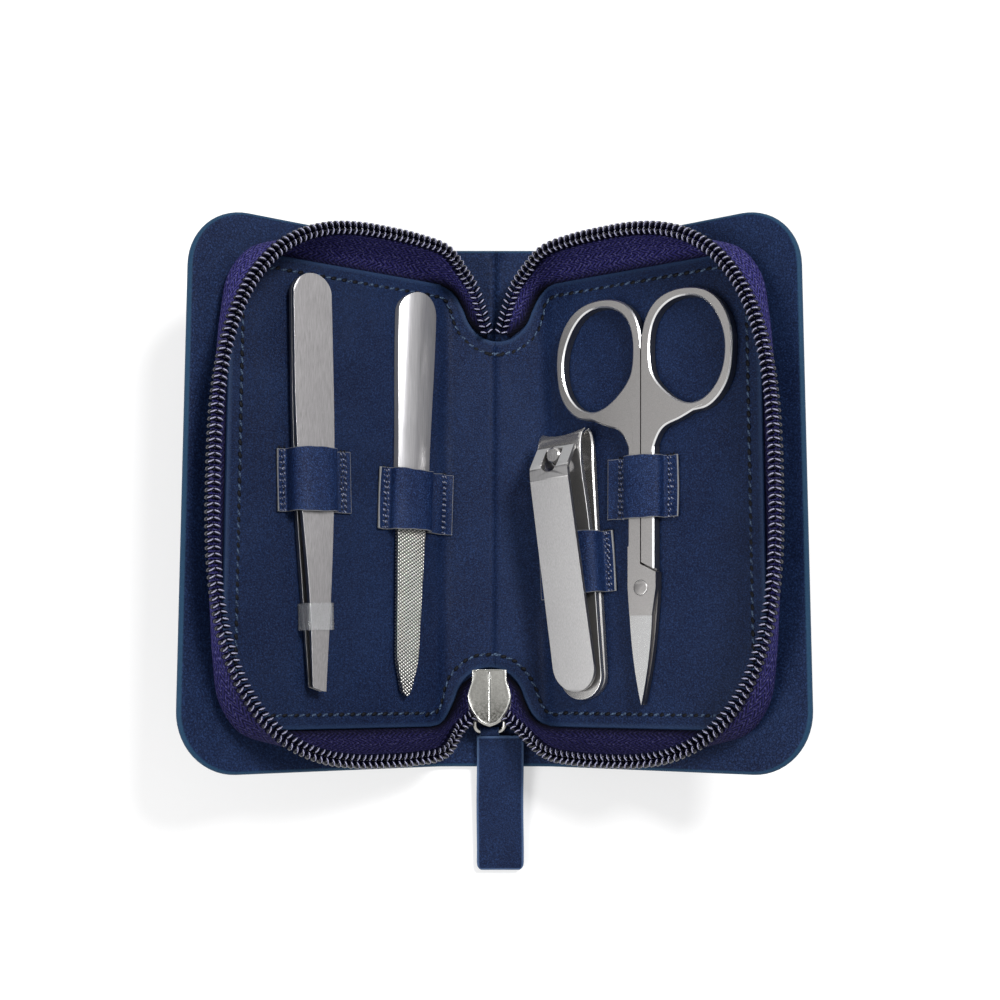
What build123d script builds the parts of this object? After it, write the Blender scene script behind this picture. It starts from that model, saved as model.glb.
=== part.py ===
"""Zip-around manicure case, open like a book, with four steel tools under leather loops.

The case stands on its spine, with +Y along the spine and +Z up. Each half leans up from a fold
line at one side of the spine, and all that a half carries is drawn on that half's own plane:
x away from the fold line, y along the spine, z up from the cover's inner face. A tool is drawn on
a seat of its own on that plane: x across the tool, y along it towards its upper end.
"""

import os
from math import asin, cos, degrees, radians, sin

from build123d import *

os.makedirs("parts", exist_ok=True)

# ------------------------------------------------------- driving dimensions, mm and degrees
spine_width = 24.0
open_angle = 35.0
corner_radius = 13.0
cover_thickness = 1.8
cover_edge_round = 0.6
fold_gap = 0.2
board_thickness = 1.0
lining_thickness = 1.2
lining_corner_radius = 10.5
board_corner_radius = 12.0
board_room = 1.0
lining_inset = 2.0
leather_thickness = 0.8
clearance = 0.2
running_gap = 0.05
soft_edge = 0.3

zip_border_side = 6.0
zip_border_end = 6.7
sewn_margin = 4.7
tape_thickness = 0.6
tape_corner_power = 8.0
tape_start = 4.0
tape_end_drop = 0.6
chain_power = 2.7
chain_lean_side = 4.5
chain_lean_end = 4.3
chain_end_drop = 3.2
chain_width = 2.8
chain_core = 1.6
chain_depth = 2.6
tooth_pitch = 1.63

spine_hem = 1.3
notch_width = 15.2
notch_depth = 21.4
lead_width = 2.2
lead_end_room = 2.9
lead_spread = 2.2
lead_nose_room = 1.4
tail_lift = 1.4
tail_offset = 0.6
tail_spread = 2.4
tape_patch_width = 2.0
tape_patch_lean = 0.5

slider_offset = -1.2
slider_tail_room = 0.4
slider_length = 11.6
slider_tail_width = 7.3
slider_width = 9.3
slider_plate = 1.0
slider_lift = 3.5
slider_flange = 0.7
slider_flare = 0.1
slider_lip = 0.6
slider_post_point = 1.4
crown_width = 2.4
crown_wall = 0.45
pull_wire = 1.0
pull_ring_width = 6.4
pull_ring_length = 6.6
pull_ring_slope = 7.0
strap_reach = 29.8
strap_width = 10.2
strap_eye_width = 4.0
strap_offset = 2.3
strap_thickness = 1.5
leather_wrap = 0.4

fold_room = 1.6
edge_room = 5.6
tool_end_room = 5.15
loop_spacing = 7.4
loop_length = 13.2
loop_seam = 3.3
loop_wide_seam = 4.0

tweezers_length = 87.0
tweezers_width = 8.9
tweezers_grip_width = 8.4
tweezers_neck_width = 4.4
tweezers_tip_width = 3.0
tweezers_sheet = 1.1
tweezers_bow = 1.8
tweezers_tip_gap = 1.2
tweezers_weld = 9.5
tweezers_along = 2.0
tweezers_lean = 2.06
sleeve_length = 5.5
sleeve_wall = 0.4
sleeve_from_tip = 12.5

file_length = 88.3
file_width = 9.7
file_neck_width = 7.9
file_handle_length = 41.0
file_handle_thickness = 2.6
file_blade_width = 7.6
file_point_width = 5.4
file_blade_thickness = 1.2
file_point_length = 9.6
file_tang_width = 4.4
file_tang_length = 22.0
file_along = 1.55
file_lean = -1.56

clipper_length = 58.0
clipper_width = 11.0
clipper_tail_width = 10.4
clipper_arm = 1.4
clipper_shoulder = 5.9
clipper_edge_height = 2.3
clipper_jaw_gap = 1.4
clipper_hollow = 1.2
clipper_jaw_bend = 8.0
clipper_waist = 0.28
cutting_edge = 0.4
arm_rise = 0.05
clipper_head_room = 1.25
clipper_seam = 1.5
clipper_lean = 3.5
pin_radius = 1.7
pin_inset = 5.9
pin_height = 8.9
rivet_radius = 1.2
rivet_inset = 5.0
lever_thickness = 1.2
lever_width = 9.4
lever_tail_width = 10.2
lever_crest = 10.9
lever_tail_height = 4.8
lever_bar_radius = 0.6
lever_slot_width = 4.2

scissors_length = 87.0
scissors_thickness = 2.6
ring_width = 21.2
ring_height = 26.8
ring_room = 4.8
web_round = 2.9
shank_width = 6.2
shank_gap = 0.25
lobe_room = 0.45
blade_width = 5.3
blade_offset = 0.4
blade_length = 18.5
pivot_above_blade = 5.8
step_above_pivot = 5.4
step_rise = 3.3
step_gap = 0.5
grind_step = 0.12
grind_depth = 0.6
screw_radius = 1.6
scissors_along = -0.8
scissors_lean = -0.76

# ------------------------------------------------------- heights, reaches and places they give
fold_x = spine_width / 2
spine_top = cover_thickness
lining_top = board_thickness + lining_thickness
tool_floor = lining_top + clearance

loop_wall = leather_thickness + loop_seam
tweezers_tunnel = tweezers_grip_width + 4 * clearance
file_tunnel = file_neck_width + 4 * clearance
clipper_tunnel = clipper_width + 3 * clearance
scissors_tunnel = shank_width + 8 * clearance

file_across = fold_room + loop_wall + file_tunnel / 2
tweezers_across = (
    file_across + (file_tunnel + tweezers_tunnel) / 2 + 2 * loop_wall + loop_spacing
)
clipper_across = fold_room + clipper_seam + leather_thickness + clipper_tunnel / 2
scissors_across = ring_room + ring_width + clearance

longest_tool = max(tweezers_length, file_length, scissors_length)
outermost = max(
    tweezers_across + tweezers_tunnel / 2 + leather_thickness + loop_wide_seam,
    scissors_across + ring_width,
)
lining_reach_x = outermost + edge_room
lining_reach_y = longest_tool / 2 + tool_end_room
tape_reach_x = lining_reach_x + lining_inset
tape_reach_y = lining_reach_y + lining_inset
chain_reach_x = tape_reach_x + chain_lean_side
chain_reach_y = tape_reach_y + chain_lean_end
panel_width = tape_reach_x + zip_border_side
half_height = tape_reach_y + zip_border_end
chain_floor = fold_x - clearance - chain_depth
zip_middle_x = panel_width / 3
ring_bottom = scissors_along + scissors_length / 2 - ring_height
clipper_along = ring_bottom - clipper_head_room - clipper_length / 2
sides = ((-1, "left"), (1, "right"))


def half_plane(side, height=0.0):
    """The drawing plane of one half, lifted by height above its cover's inner face."""
    turn = radians(open_angle)
    plane = Plane(
        origin=(side * fold_x, 0, spine_top),
        x_dir=(cos(turn), 0, side * sin(turn)),
        z_dir=(-side * sin(turn), 0, cos(turn)),
    )
    return plane.offset(height)


def tool_seat(side, across, along, lean):
    """The plane a tool lies on: its own x across the tool, y along it, z up from the lining."""
    base = half_plane(side, tool_floor)
    forward = radians(lean)
    return Plane(
        origin=base.from_local_coords((side * across, along, 0)),
        x_dir=base.x_dir * cos(forward) + base.y_dir * sin(forward),
        z_dir=base.z_dir,
    )


def side_view(seat):
    """The plane of a tool's side profile: x along the tool, y up."""
    return Plane(origin=seat.origin, x_dir=seat.y_dir, z_dir=seat.x_dir)


def end_view(seat, along=0.0):
    """The plane of a tool's cross-section: x across the tool, y up, facing its lower end."""
    origin = seat.from_local_coords((0, along, 0))
    return Plane(origin=origin, x_dir=seat.x_dir, z_dir=-seat.y_dir)


def outer_edges(piece, seat, lowest, furthest=longest_tool):
    """The edges round a piece's largest upward face, up to this distance along the tool."""
    faces = [face for face in piece.faces() if seat.to_local_coords(face.center()).Z > lowest]
    top = max(faces, key=lambda face: (round(face.area), seat.to_local_coords(face.center()).Z))
    return [edge for edge in top.edges() if seat.to_local_coords(edge.center()).Y < furthest]


def save(piece, name):
    """Labels a finished piece and writes its file."""
    piece.part.label = name
    export_step(piece.part, f"parts/{name}.step")


# ------------------------------------------------------- covers, stiffeners and linings
def half_outline(side, start, reach_x, reach_y, radius):
    """A panel from start to reach_x, with its two outer corners rounded."""
    with BuildSketch(mode=Mode.PRIVATE) as outline:
        with Locations((side * (start + reach_x) / 2, 0)):
            Rectangle(reach_x - start, 2 * reach_y)
        outer = outline.vertices().group_by(Axis.X)[-1 if side > 0 else 0]
        fillet(outer, radius)
    return outline.sketch


with BuildPart() as cover_spine:
    with BuildSketch():
        Rectangle(spine_width - 2 * fold_gap, 2 * half_height)
    extrude(amount=cover_thickness)
    fillet(cover_spine.edges().filter_by(Axis.X), cover_edge_round)
save(cover_spine, "cover_spine")

for side, hand in sides:
    inner_face = half_plane(side)
    with BuildPart() as cover:
        with BuildSketch(half_plane(side, -cover_thickness)):
            add(half_outline(side, fold_gap, panel_width, half_height, corner_radius))
        extrude(amount=cover_thickness)
        rims = [face.edges() for face in cover.faces().filter_by(inner_face)]
        turned = [
            edge
            for rim in rims
            for edge in rim
            if abs(inner_face.to_local_coords(edge.center()).X) > corner_radius
        ]
        fillet(turned, cover_edge_round)
    save(cover, f"cover_{hand}")

    board_reach_x = tape_reach_x - sewn_margin - board_room
    board_reach_y = tape_reach_y - sewn_margin - board_room
    with BuildPart() as board:
        with BuildSketch(inner_face):
            add(half_outline(side, lining_top, board_reach_x, board_reach_y, board_corner_radius))
        extrude(amount=board_thickness)
    save(board, f"stiffener_{hand}")

    with BuildPart() as lining:
        with BuildSketch(half_plane(side, board_thickness)):
            add(half_outline(side, fold_gap, lining_reach_x, lining_reach_y, lining_corner_radius))
        extrude(amount=lining_thickness)
    save(lining, f"lining_{hand}")

notch_bottom = half_height - notch_depth
notch_round = notch_bottom + notch_width / 2
spine_lining_reach = fold_x - lining_top - spine_hem
with BuildPart() as lining_spine:
    with BuildSketch(Plane.XY.offset(spine_top)):
        Rectangle(2 * spine_lining_reach, 2 * (lining_reach_y - notch_width / 4))
        with Locations((tail_offset, notch_round), (slider_offset, -notch_round)):
            Circle(notch_width / 2, mode=Mode.SUBTRACT)
        with Locations((tail_offset, half_height), (slider_offset, -half_height)):
            Rectangle(notch_width, 2 * (half_height - notch_round), mode=Mode.SUBTRACT)
    extrude(amount=lining_thickness)
save(lining_spine, "lining_spine")


# ------------------------------------------------------- zip tape and chain round each half
def oval_point(angle, reach_x, reach_y, power):
    """The point of a rounded oval about the zip's middle, on the ray at this angle."""
    across = abs(cos(radians(angle)) / (reach_x - zip_middle_x)) ** power
    along = abs(sin(radians(angle)) / reach_y) ** power
    radius = (across + along) ** (-1 / power)
    return zip_middle_x + radius * cos(radians(angle)), radius * sin(radians(angle))


def zip_points(side, reach_x, reach_y, power, end_drop):
    """The zip's line on one half, from its lower to its upper end beside the spine."""
    line = [oval_point(angle, reach_x, reach_y, power) for angle in range(-90, 91, 10)]
    lower, upper = (tape_start, end_drop - reach_y), (tape_start, reach_y - end_drop)
    return [(side * x, y) for x, y in [lower, *line, upper]]


def tape_band(side, reach_x, reach_y, power, end_drop, inward):
    """A face along the zip's line, one tape thick, or reaching further inward."""
    out = tape_thickness / 2
    with BuildSketch(mode=Mode.PRIVATE) as strip:
        with BuildLine():
            outer = Spline(*zip_points(side, reach_x + out, reach_y + out, power, end_drop))
            inner = Spline(
                *zip_points(side, reach_x - inward, reach_y - inward, power, end_drop)
            )
            Line(outer @ 0, inner @ 0)
            Line(outer @ 1, inner @ 1)
        make_face()
    return strip.sketch


def toothed_strip(rail, width, core):
    """The chain from above: a core with a tooth standing out each side at every pitch."""
    steps = 2 * round(rail.length / tooth_pitch)
    left, right = [], []
    for step in range(steps + 1):
        middle, ahead = rail @ (step / steps), rail % (step / steps)
        reach = (width if step % 2 else core) / 2
        left.append((middle.X - ahead.Y * reach, middle.Y + ahead.X * reach))
        right.append((middle.X + ahead.Y * reach, middle.Y - ahead.X * reach))
    with BuildSketch(mode=Mode.PRIVATE) as strip:
        with BuildLine():
            Polyline(*left, *reversed(right), close=True)
        make_face()
    return strip.sketch


for side, hand in sides:
    base = (side, tape_reach_x, tape_reach_y, tape_corner_power, tape_end_drop)
    crest = (side, chain_reach_x, chain_reach_y, chain_power, chain_end_drop)
    with BuildPart() as tape:
        with BuildSketch(half_plane(side)):
            add(tape_band(*base, sewn_margin))
        extrude(amount=board_thickness)
        with BuildSketch(half_plane(side, board_thickness)):
            add(tape_band(*base, tape_thickness / 2))
        with BuildSketch(half_plane(side, chain_floor)):
            add(tape_band(*crest, tape_thickness / 2))
        loft(ruled=True)
    save(tape, f"zip_tape_{hand}")

    with BuildLine(mode=Mode.PRIVATE) as chain_rail:
        Spline(*zip_points(*crest))
    with BuildPart() as chain:
        with BuildSketch(half_plane(side, chain_floor)):
            add(toothed_strip(chain_rail.wire(), chain_width, chain_core))
        extrude(amount=chain_depth)
    save(chain, f"zip_chain_{hand}")

# ------------------------------------------------------- zip ends and slider on the spine
slider_floor = spine_top + slider_lift
channel_floor = slider_floor + slider_plate
channel_height = chain_depth + 2 * clearance
slider_roof = channel_floor + channel_height
slider_tail = -notch_bottom - slider_tail_room
slider_nose = slider_tail - slider_length
slider_shoulder = (slider_tail + slider_nose) / 2
lead_reach = fold_x - lining_top - 2 * clearance - lead_width / 2
lead_end = tape_reach_y - lead_end_room
lead_gap = (lead_width + running_gap) / 2


def lead_pair(name, height, ends):
    """Two lengths of chain over the spine, one from each half, running to the middle."""
    with BuildPart() as leads:
        with BuildSketch(Plane.XY.offset(height)):
            for side, hand in sides:
                with BuildLine(mode=Mode.PRIVATE) as rail:
                    FilletPolyline(*ends(side), radius=lead_gap)
                add(toothed_strip(rail.wire(), lead_width, chain_core))
        extrude(amount=chain_depth)
    save(leads, name)


def slider_leads(side):
    """From one half, over the spine, through the slider's mouth and into its channel."""
    return (
        (side * lead_reach, -lead_end),
        (
            slider_offset + side * lead_spread * lead_gap,
            slider_nose + lead_nose_room * lead_gap,
        ),
        (slider_offset + side * lead_gap, slider_shoulder),
        (slider_offset + side * lead_gap, slider_tail - lead_gap),
    )


def notch_tails(side):
    """From one half, over the spine and down to the notch where the chain stops."""
    return (
        (side * lead_reach, lead_end),
        (tail_offset + side * tail_spread * lead_gap, notch_round - lead_gap),
        (tail_offset + side * lead_gap, notch_bottom + slider_tail_room),
    )


lead_pair("zip_leads", channel_floor + clearance, slider_leads)
lead_pair("zip_tails", spine_top + tail_lift, notch_tails)


def tape_patch(name, end, height):
    """The two short stretches of tape that carry the chain's ends, standing on the spine."""
    near, far = lead_reach - tape_patch_width, lead_reach
    with BuildPart() as patch:
        with BuildSketch(Plane.XY.offset(spine_top)):
            for side, hand in sides:
                with BuildLine():
                    Polyline(
                        (side * near, end * (lead_end - tape_patch_lean)),
                        (side * far, end * lead_end),
                        (side * far, end * (lead_end + tape_thickness)),
                        (side * near, end * (lead_end - tape_patch_lean + tape_thickness)),
                        close=True,
                    )
                make_face()
        extrude(amount=height - spine_top)
    save(patch, name)


tape_patch("zip_leads_tape", -1, channel_floor + clearance)
tape_patch("zip_tails_tape", 1, spine_top + tail_lift)


def slider_shield(lip=0.0):
    """The slider's shape from above: straight tail, round shoulders and a pointed nose."""
    tail_half, wide_half = slider_tail_width / 2, slider_width / 2
    nose = slider_nose - lip
    with BuildSketch(mode=Mode.PRIVATE) as shield:
        with BuildLine():
            Line((-tail_half, slider_tail), (tail_half, slider_tail))
            for side in (-1, 1):
                Spline(
                    (side * tail_half, slider_tail),
                    (side * (tail_half + slider_flare), slider_tail - slider_length / 6),
                    (side * wide_half, slider_shoulder),
                    (0, nose),
                    tangents=((0, -1), (-side, -0.25)),
                )
        make_face()
    return shield.sketch.moved(Location((slider_offset, 0)))


wide_half = slider_width / 2
channel_half = slider_tail_width / 2 - slider_flange
post_half = lead_gap - clearance
crown_y = slider_shoulder - pull_wire
crown_z = slider_floor - pull_wire
crown_radius = pull_wire / 2 + running_gap + crown_wall
with BuildPart() as slider:
    with BuildSketch(Plane.XY.offset(slider_floor)):
        add(slider_shield(slider_lip))
    extrude(amount=slider_plate)
    with BuildSketch(Plane.XY.offset(slider_roof)):
        add(slider_shield())
    extrude(amount=slider_plate)
    with BuildSketch(Plane.XY.offset(channel_floor)):
        add(slider_shield())
        with BuildLine(mode=Mode.PRIVATE) as mouth:
            half_mouth = [
                (channel_half, slider_tail + clearance),
                (channel_half, slider_tail - slider_length / 6),
                (wide_half - slider_flange, slider_shoulder),
                (wide_half + clearance, slider_shoulder - slider_flange),
                (wide_half + clearance, slider_nose - slider_flange),
            ]
            Polyline(*half_mouth, *[(-x, y) for x, y in reversed(half_mouth)], close=True)
        with Locations((slider_offset, 0)):
            add(make_face(mouth.edges(), mode=Mode.PRIVATE), mode=Mode.SUBTRACT)
        with Locations((slider_offset, slider_nose + 2 * post_half)):
            Polygon(
                (-post_half, 0),
                (0, -slider_post_point * post_half),
                (post_half, 0),
                (0, 2 * post_half),
                align=None,
            )
    extrude(amount=channel_height)
    with BuildSketch(Plane.YZ.offset(slider_offset)):
        with Locations((crown_y, crown_z)):
            Circle(crown_radius)
            Rectangle(
                2 * crown_radius, slider_floor - crown_z, align=(Align.CENTER, Align.MIN)
            )
            Circle(crown_radius - crown_wall, mode=Mode.SUBTRACT)
    extrude(amount=crown_width / 2, both=True)
    chamfer(slider.faces().sort_by(Axis.Z)[-1].edges(), slider_plate / 3)
save(slider, "zip_slider")


# ------------------------------------------------------- puller: wire ring and leather strap
def sloping_plane(y, z, slope):
    """A plane at the slider's middle that drops towards -Y, with its x along +X."""
    drop = radians(slope)
    return Plane(
        origin=(slider_offset, y, z), x_dir=(1, 0, 0), z_dir=(0, -sin(drop), cos(drop))
    )


ring_plane = sloping_plane(crown_y, crown_z, pull_ring_slope)
ring_half = pull_ring_width / 2
with BuildPart() as pull_ring:
    with BuildLine(ring_plane) as wire_path:
        FilletPolyline(
            (ring_half, 0),
            (ring_half, -pull_ring_length),
            (-ring_half, -pull_ring_length),
            (-ring_half, 0),
            radius=1.5 * pull_wire,
            close=True,
        )
    wire = wire_path.wire()
    with BuildSketch(Plane(origin=wire @ 0, z_dir=wire % 0)):
        Circle(pull_wire / 2)
    sweep(path=wire)
save(pull_ring, "pull_ring")

eye_gap = pull_wire / 2 + running_gap
eye = ring_plane.from_local_coords((0, -pull_ring_length, 0))
strap_slope = degrees(asin((eye.Z - strap_thickness / 2 - running_gap) / strap_reach))
strap_plane = sloping_plane(eye.Y, eye.Z, strap_slope)
strap_profile_plane = Plane(
    origin=strap_plane.origin, x_dir=-strap_plane.y_dir, z_dir=-strap_plane.x_dir
)
eye_radius = eye_gap + leather_wrap
neck_end = eye_radius + clearance
with BuildPart() as strap:
    with BuildSketch(strap_profile_plane):
        Circle(eye_radius)
        with Locations((strap_reach / 2, 0)):
            Rectangle(strap_reach, strap_thickness)
        Circle(eye_gap, mode=Mode.SUBTRACT)
    extrude(amount=strap_width, both=True)
    with BuildSketch(strap_plane):
        with Locations((strap_offset, -(neck_end + strap_reach) / 2)):
            RectangleRounded(strap_width, strap_reach - neck_end, strap_thickness / 2)
        Rectangle(strap_eye_width, 3 * neck_end)
    extrude(amount=2 * strap_thickness, both=True, mode=Mode.INTERSECT)
save(strap, "pull_strap")


# ------------------------------------------------------- leather loops that hold the tools
def loop(name, seat, along, tunnel_width, tunnel_height, near_seam, far_seam, side):
    """A leather loop: a seam strip at each side and a tunnel for the tool, open at both ends."""
    outer_width = tunnel_width + 2 * leather_thickness
    left_seam, right_seam = (near_seam, far_seam) if side > 0 else (far_seam, near_seam)
    with BuildPart() as piece:
        with BuildSketch(end_view(seat, along)):
            with Locations(((right_seam - left_seam) / 2, -clearance)):
                Rectangle(
                    outer_width + left_seam + right_seam,
                    leather_thickness,
                    align=(Align.CENTER, Align.MIN),
                )
            for width, height, mode in (
                (outer_width, tunnel_height + leather_thickness, Mode.ADD),
                (tunnel_width, tunnel_height, Mode.SUBTRACT),
            ):
                with BuildLine():
                    Polyline(
                        (-width / 2, height / 2), (-width / 2, -clearance), (width / 2, -clearance)
                    )
                    Line((width / 2, -clearance), (width / 2, height / 2))
                    Spline(
                        (width / 2, height / 2),
                        (0, height),
                        (-width / 2, height / 2),
                        tangents=((0, 1), (0, -1)),
                    )
                make_face(mode=mode)
        extrude(amount=loop_length / 2, both=True)
    save(piece, name)


# ------------------------------------------------------- tweezers: two sprung arms and a band
tweezers_seat = tool_seat(-1, tweezers_across, tweezers_along, tweezers_lean)
tweezers_end = tweezers_length / 2
weld_line = tweezers_end - tweezers_weld
sleeve_along = sleeve_from_tip + sleeve_length / 2 - tweezers_end
tweezers_middle = tweezers_sheet + tweezers_bow / 2 + sleeve_wall + clearance / 2


def tweezers_plan():
    """The outline of both arms: round end, gentle waist and narrow slanted tips."""
    round_end = tweezers_width / 2
    with BuildSketch(mode=Mode.PRIVATE) as plan:
        with BuildLine():
            start = tweezers_end - round_end
            CenterArc((0, start), round_end, 0, 90)
            Spline(
                (round_end, start),
                (tweezers_grip_width / 2, tweezers_grip_width / 2),
                (tweezers_neck_width / 2, sleeve_along),
                (tweezers_tip_width / 2, -tweezers_end),
                tangents=((0, -1), (-0.05, -1)),
            )
            Line((tweezers_tip_width / 2, -tweezers_end), (0, -tweezers_end))
            mirror(about=Plane.YZ)
        make_face()
        with Locations((-tweezers_tip_width / 2, -tweezers_end)):
            Polygon(
                (-clearance, -clearance),
                (tweezers_tip_width, -clearance),
                (-clearance, tweezers_tip_width / 3),
                align=None,
                mode=Mode.SUBTRACT,
            )
    return plan.sketch


def tweezers_arm(side, name):
    """One arm: flat at the weld, bowed along the grip and thinned at the tip."""
    weld_gap = running_gap / 2
    bow, tip = tweezers_bow / 2, tweezers_tip_gap / 2
    thin = tweezers_sheet / 2

    def rail(offset, tip_offset):
        Line(
            (tweezers_end, tweezers_middle + side * (weld_gap + offset)),
            (weld_line, tweezers_middle + side * (weld_gap + offset)),
        )
        Spline(
            (weld_line, tweezers_middle + side * (weld_gap + offset)),
            (0, tweezers_middle + side * (bow / 2 + offset)),
            (sleeve_along, tweezers_middle + side * (bow + offset)),
            (-tweezers_end, tweezers_middle + side * (tip + tip_offset)),
            tangents=((-1, 0), (-1, -0.02 * side)),
        )

    with BuildPart() as arm:
        with BuildSketch(side_view(tweezers_seat)):
            with BuildLine():
                rail(0, 0)
                rail(tweezers_sheet, thin)
                for end, offset in ((tweezers_end, tweezers_sheet), (-tweezers_end, thin)):
                    gap = weld_gap if end > 0 else tip
                    Line(
                        (end, tweezers_middle + side * gap),
                        (end, tweezers_middle + side * (gap + offset)),
                    )
            make_face()
        extrude(amount=tweezers_width, both=True)
        with BuildSketch(tweezers_seat):
            add(tweezers_plan())
        extrude(amount=2 * tweezers_middle, both=True, mode=Mode.INTERSECT)
    save(arm, name)


tweezers_arm(-1, "tweezers_lower_arm")
tweezers_arm(1, "tweezers_upper_arm")

sleeve_inner_width = tweezers_neck_width + 4 * clearance
sleeve_inner_height = 2 * tweezers_sheet + tweezers_bow + 2 * clearance
with BuildPart() as sleeve:
    with BuildSketch(end_view(tweezers_seat, sleeve_along)):
        with Locations((0, tweezers_middle)):
            RectangleRounded(
                sleeve_inner_width + 2 * sleeve_wall,
                sleeve_inner_height + 2 * sleeve_wall,
                sleeve_wall + clearance,
            )
            RectangleRounded(
                sleeve_inner_width, sleeve_inner_height, clearance, mode=Mode.SUBTRACT
            )
    extrude(amount=sleeve_length / 2, both=True)
save(sleeve, "tweezers_sleeve")

tweezers_tunnel_height = tweezers_middle + tweezers_sheet + tweezers_bow / 2 + 2 * clearance
loop(
    "loop_tweezers",
    tweezers_seat,
    0,
    tweezers_tunnel,
    tweezers_tunnel_height,
    loop_seam,
    loop_wide_seam,
    -1,
)

# ------------------------------------------------------- nail file: cut blade in a domed handle
file_seat = tool_seat(-1, file_across, file_along, file_lean)
file_end = file_length / 2
handle_foot = file_end - file_handle_length
blade_level = (file_handle_thickness - file_blade_thickness) / 2
with BuildPart() as file_blade:
    with BuildSketch(file_seat.offset(blade_level)):
        point_start = file_point_length - file_end
        with BuildLine():
            Line((file_blade_width / 2, handle_foot), (file_point_width / 2, point_start))
            Spline(
                (file_point_width / 2, point_start),
                (file_point_width / 4, -file_end + file_point_length / 4),
                (0, -file_end),
                tangents=((0, -1), (-1, -0.4)),
            )
            Line((0, -file_end), (0, handle_foot))
            Line((0, handle_foot), (file_blade_width / 2, handle_foot))
        make_face()
        mirror(about=Plane.YZ)
        with Locations((0, handle_foot)):
            Rectangle(
                file_tang_width, file_tang_length, align=(Align.CENTER, Align.MIN)
            )
    extrude(amount=file_blade_thickness)
save(file_blade, "file_blade")

with BuildPart() as file_handle:
    with BuildSketch(file_seat):
        with BuildLine():
            end_round = file_width / 2
            round_start = file_end - end_round
            CenterArc((0, round_start), end_round, 0, 90)
            Spline(
                (end_round, round_start),
                (file_neck_width / 2, handle_foot),
                tangents=((0, -1), (0, -1)),
            )
            Line((file_neck_width / 2, handle_foot), (0, handle_foot))
            Line((0, handle_foot), (0, file_end))
        make_face()
        mirror(about=Plane.YZ)
    extrude(amount=file_handle_thickness)
    with BuildSketch(end_view(file_seat)):
        with BuildLine():
            ThreePointArc(
                (-file_width, -file_handle_thickness),
                (0, file_handle_thickness),
                (file_width, -file_handle_thickness),
            )
            Line(
                (-file_width, -file_handle_thickness),
                (file_width, -file_handle_thickness),
            )
        make_face()
    extrude(amount=file_length, both=True, mode=Mode.INTERSECT)
    with BuildSketch(file_seat.offset(blade_level - running_gap)):
        with Locations((0, handle_foot - clearance)):
            Rectangle(
                file_tang_width + 2 * running_gap,
                file_tang_length + 2 * clearance,
                align=(Align.CENTER, Align.MIN),
            )
    extrude(amount=file_blade_thickness + 2 * running_gap, mode=Mode.SUBTRACT)
save(file_handle, "file_handle")

loop(
    "loop_file",
    file_seat,
    -file_neck_width / 4,
    file_tunnel,
    file_handle_thickness + 2 * clearance,
    loop_seam,
    loop_seam,
    -1,
)

# ------------------------------------------------------- nail clipper
clipper_seat = tool_seat(1, clipper_across, clipper_along, clipper_lean)
clipper_end = clipper_length / 2
rivet_along = rivet_inset - clipper_end
pin_along = clipper_end - pin_inset
jaw_top = clipper_edge_height + clipper_jaw_gap
front = clipper_end
back = -clipper_end


def clipper_plan():
    """The clipper from above: straight sides, round tail and a hollow cutting edge."""
    tail = clipper_tail_width / 2
    head = clipper_width / 2
    with BuildSketch(mode=Mode.PRIVATE) as plan:
        with BuildLine():
            CenterArc((0, back + tail), tail, 180, 180)
            Line((tail, back + tail), (head, front))
            ThreePointArc((head, front), (0, front - clipper_hollow), (-head, front))
            Line((-head, front), (-tail, back + tail))
        make_face()
    return plan.sketch


def lower_profile():
    """The lower arm from its side: flat, then turned up into its cutting edge."""
    bend = front - clipper_jaw_bend
    edge_back = front - cutting_edge
    with BuildSketch(mode=Mode.PRIVATE) as profile:
        with BuildLine():
            Line((back, 0), (bend, 0))
            Spline((bend, 0), (front, clipper_edge_height), tangents=((1, 0), (0.35, 1)))
            Line((front, clipper_edge_height), (edge_back, clipper_edge_height))
            Spline(
                (edge_back, clipper_edge_height),
                (bend - clipper_arm / 2, clipper_arm),
                tangents=((-0.5, -1), (-1, 0)),
            )
            Line((bend - clipper_arm / 2, clipper_arm), (back, clipper_arm))
            Line((back, clipper_arm), (back, 0))
        make_face()
    return profile.sketch


def upper_profile():
    """The upper arm from its side: it leaves the rivet, rises and drops to its cutting edge."""
    tail_level = clipper_arm + running_gap
    crest_along = front - 2 * pin_inset
    crest_level = clipper_shoulder - clipper_arm
    waist_level = tail_level + clipper_waist * (crest_level - tail_level)
    edge_back = front - cutting_edge
    with BuildSketch(mode=Mode.PRIVATE) as profile:
        with BuildLine():
            Line((back, tail_level), (rivet_along, tail_level))
            Spline(
                (rivet_along, tail_level),
                (0, waist_level),
                (crest_along, crest_level),
                tangents=((1, arm_rise), (1, 0.2)),
            )
            Spline(
                (crest_along, crest_level), (edge_back, jaw_top), tangents=((1, 0.2), (0.35, -1))
            )
            Line((edge_back, jaw_top), (front, jaw_top))
            Spline(
                (front, jaw_top), (crest_along, clipper_shoulder), tangents=((-0.35, 1), (-1, -0.2))
            )
            Spline(
                (crest_along, clipper_shoulder),
                (0, waist_level + clipper_arm),
                (rivet_along, tail_level + clipper_arm),
                tangents=((-1, -0.2), (-1, -arm_rise)),
            )
            Line((rivet_along, tail_level + clipper_arm), (back, tail_level + clipper_arm))
            Line((back, tail_level + clipper_arm), (back, tail_level))
        make_face()
    return profile.sketch


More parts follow.
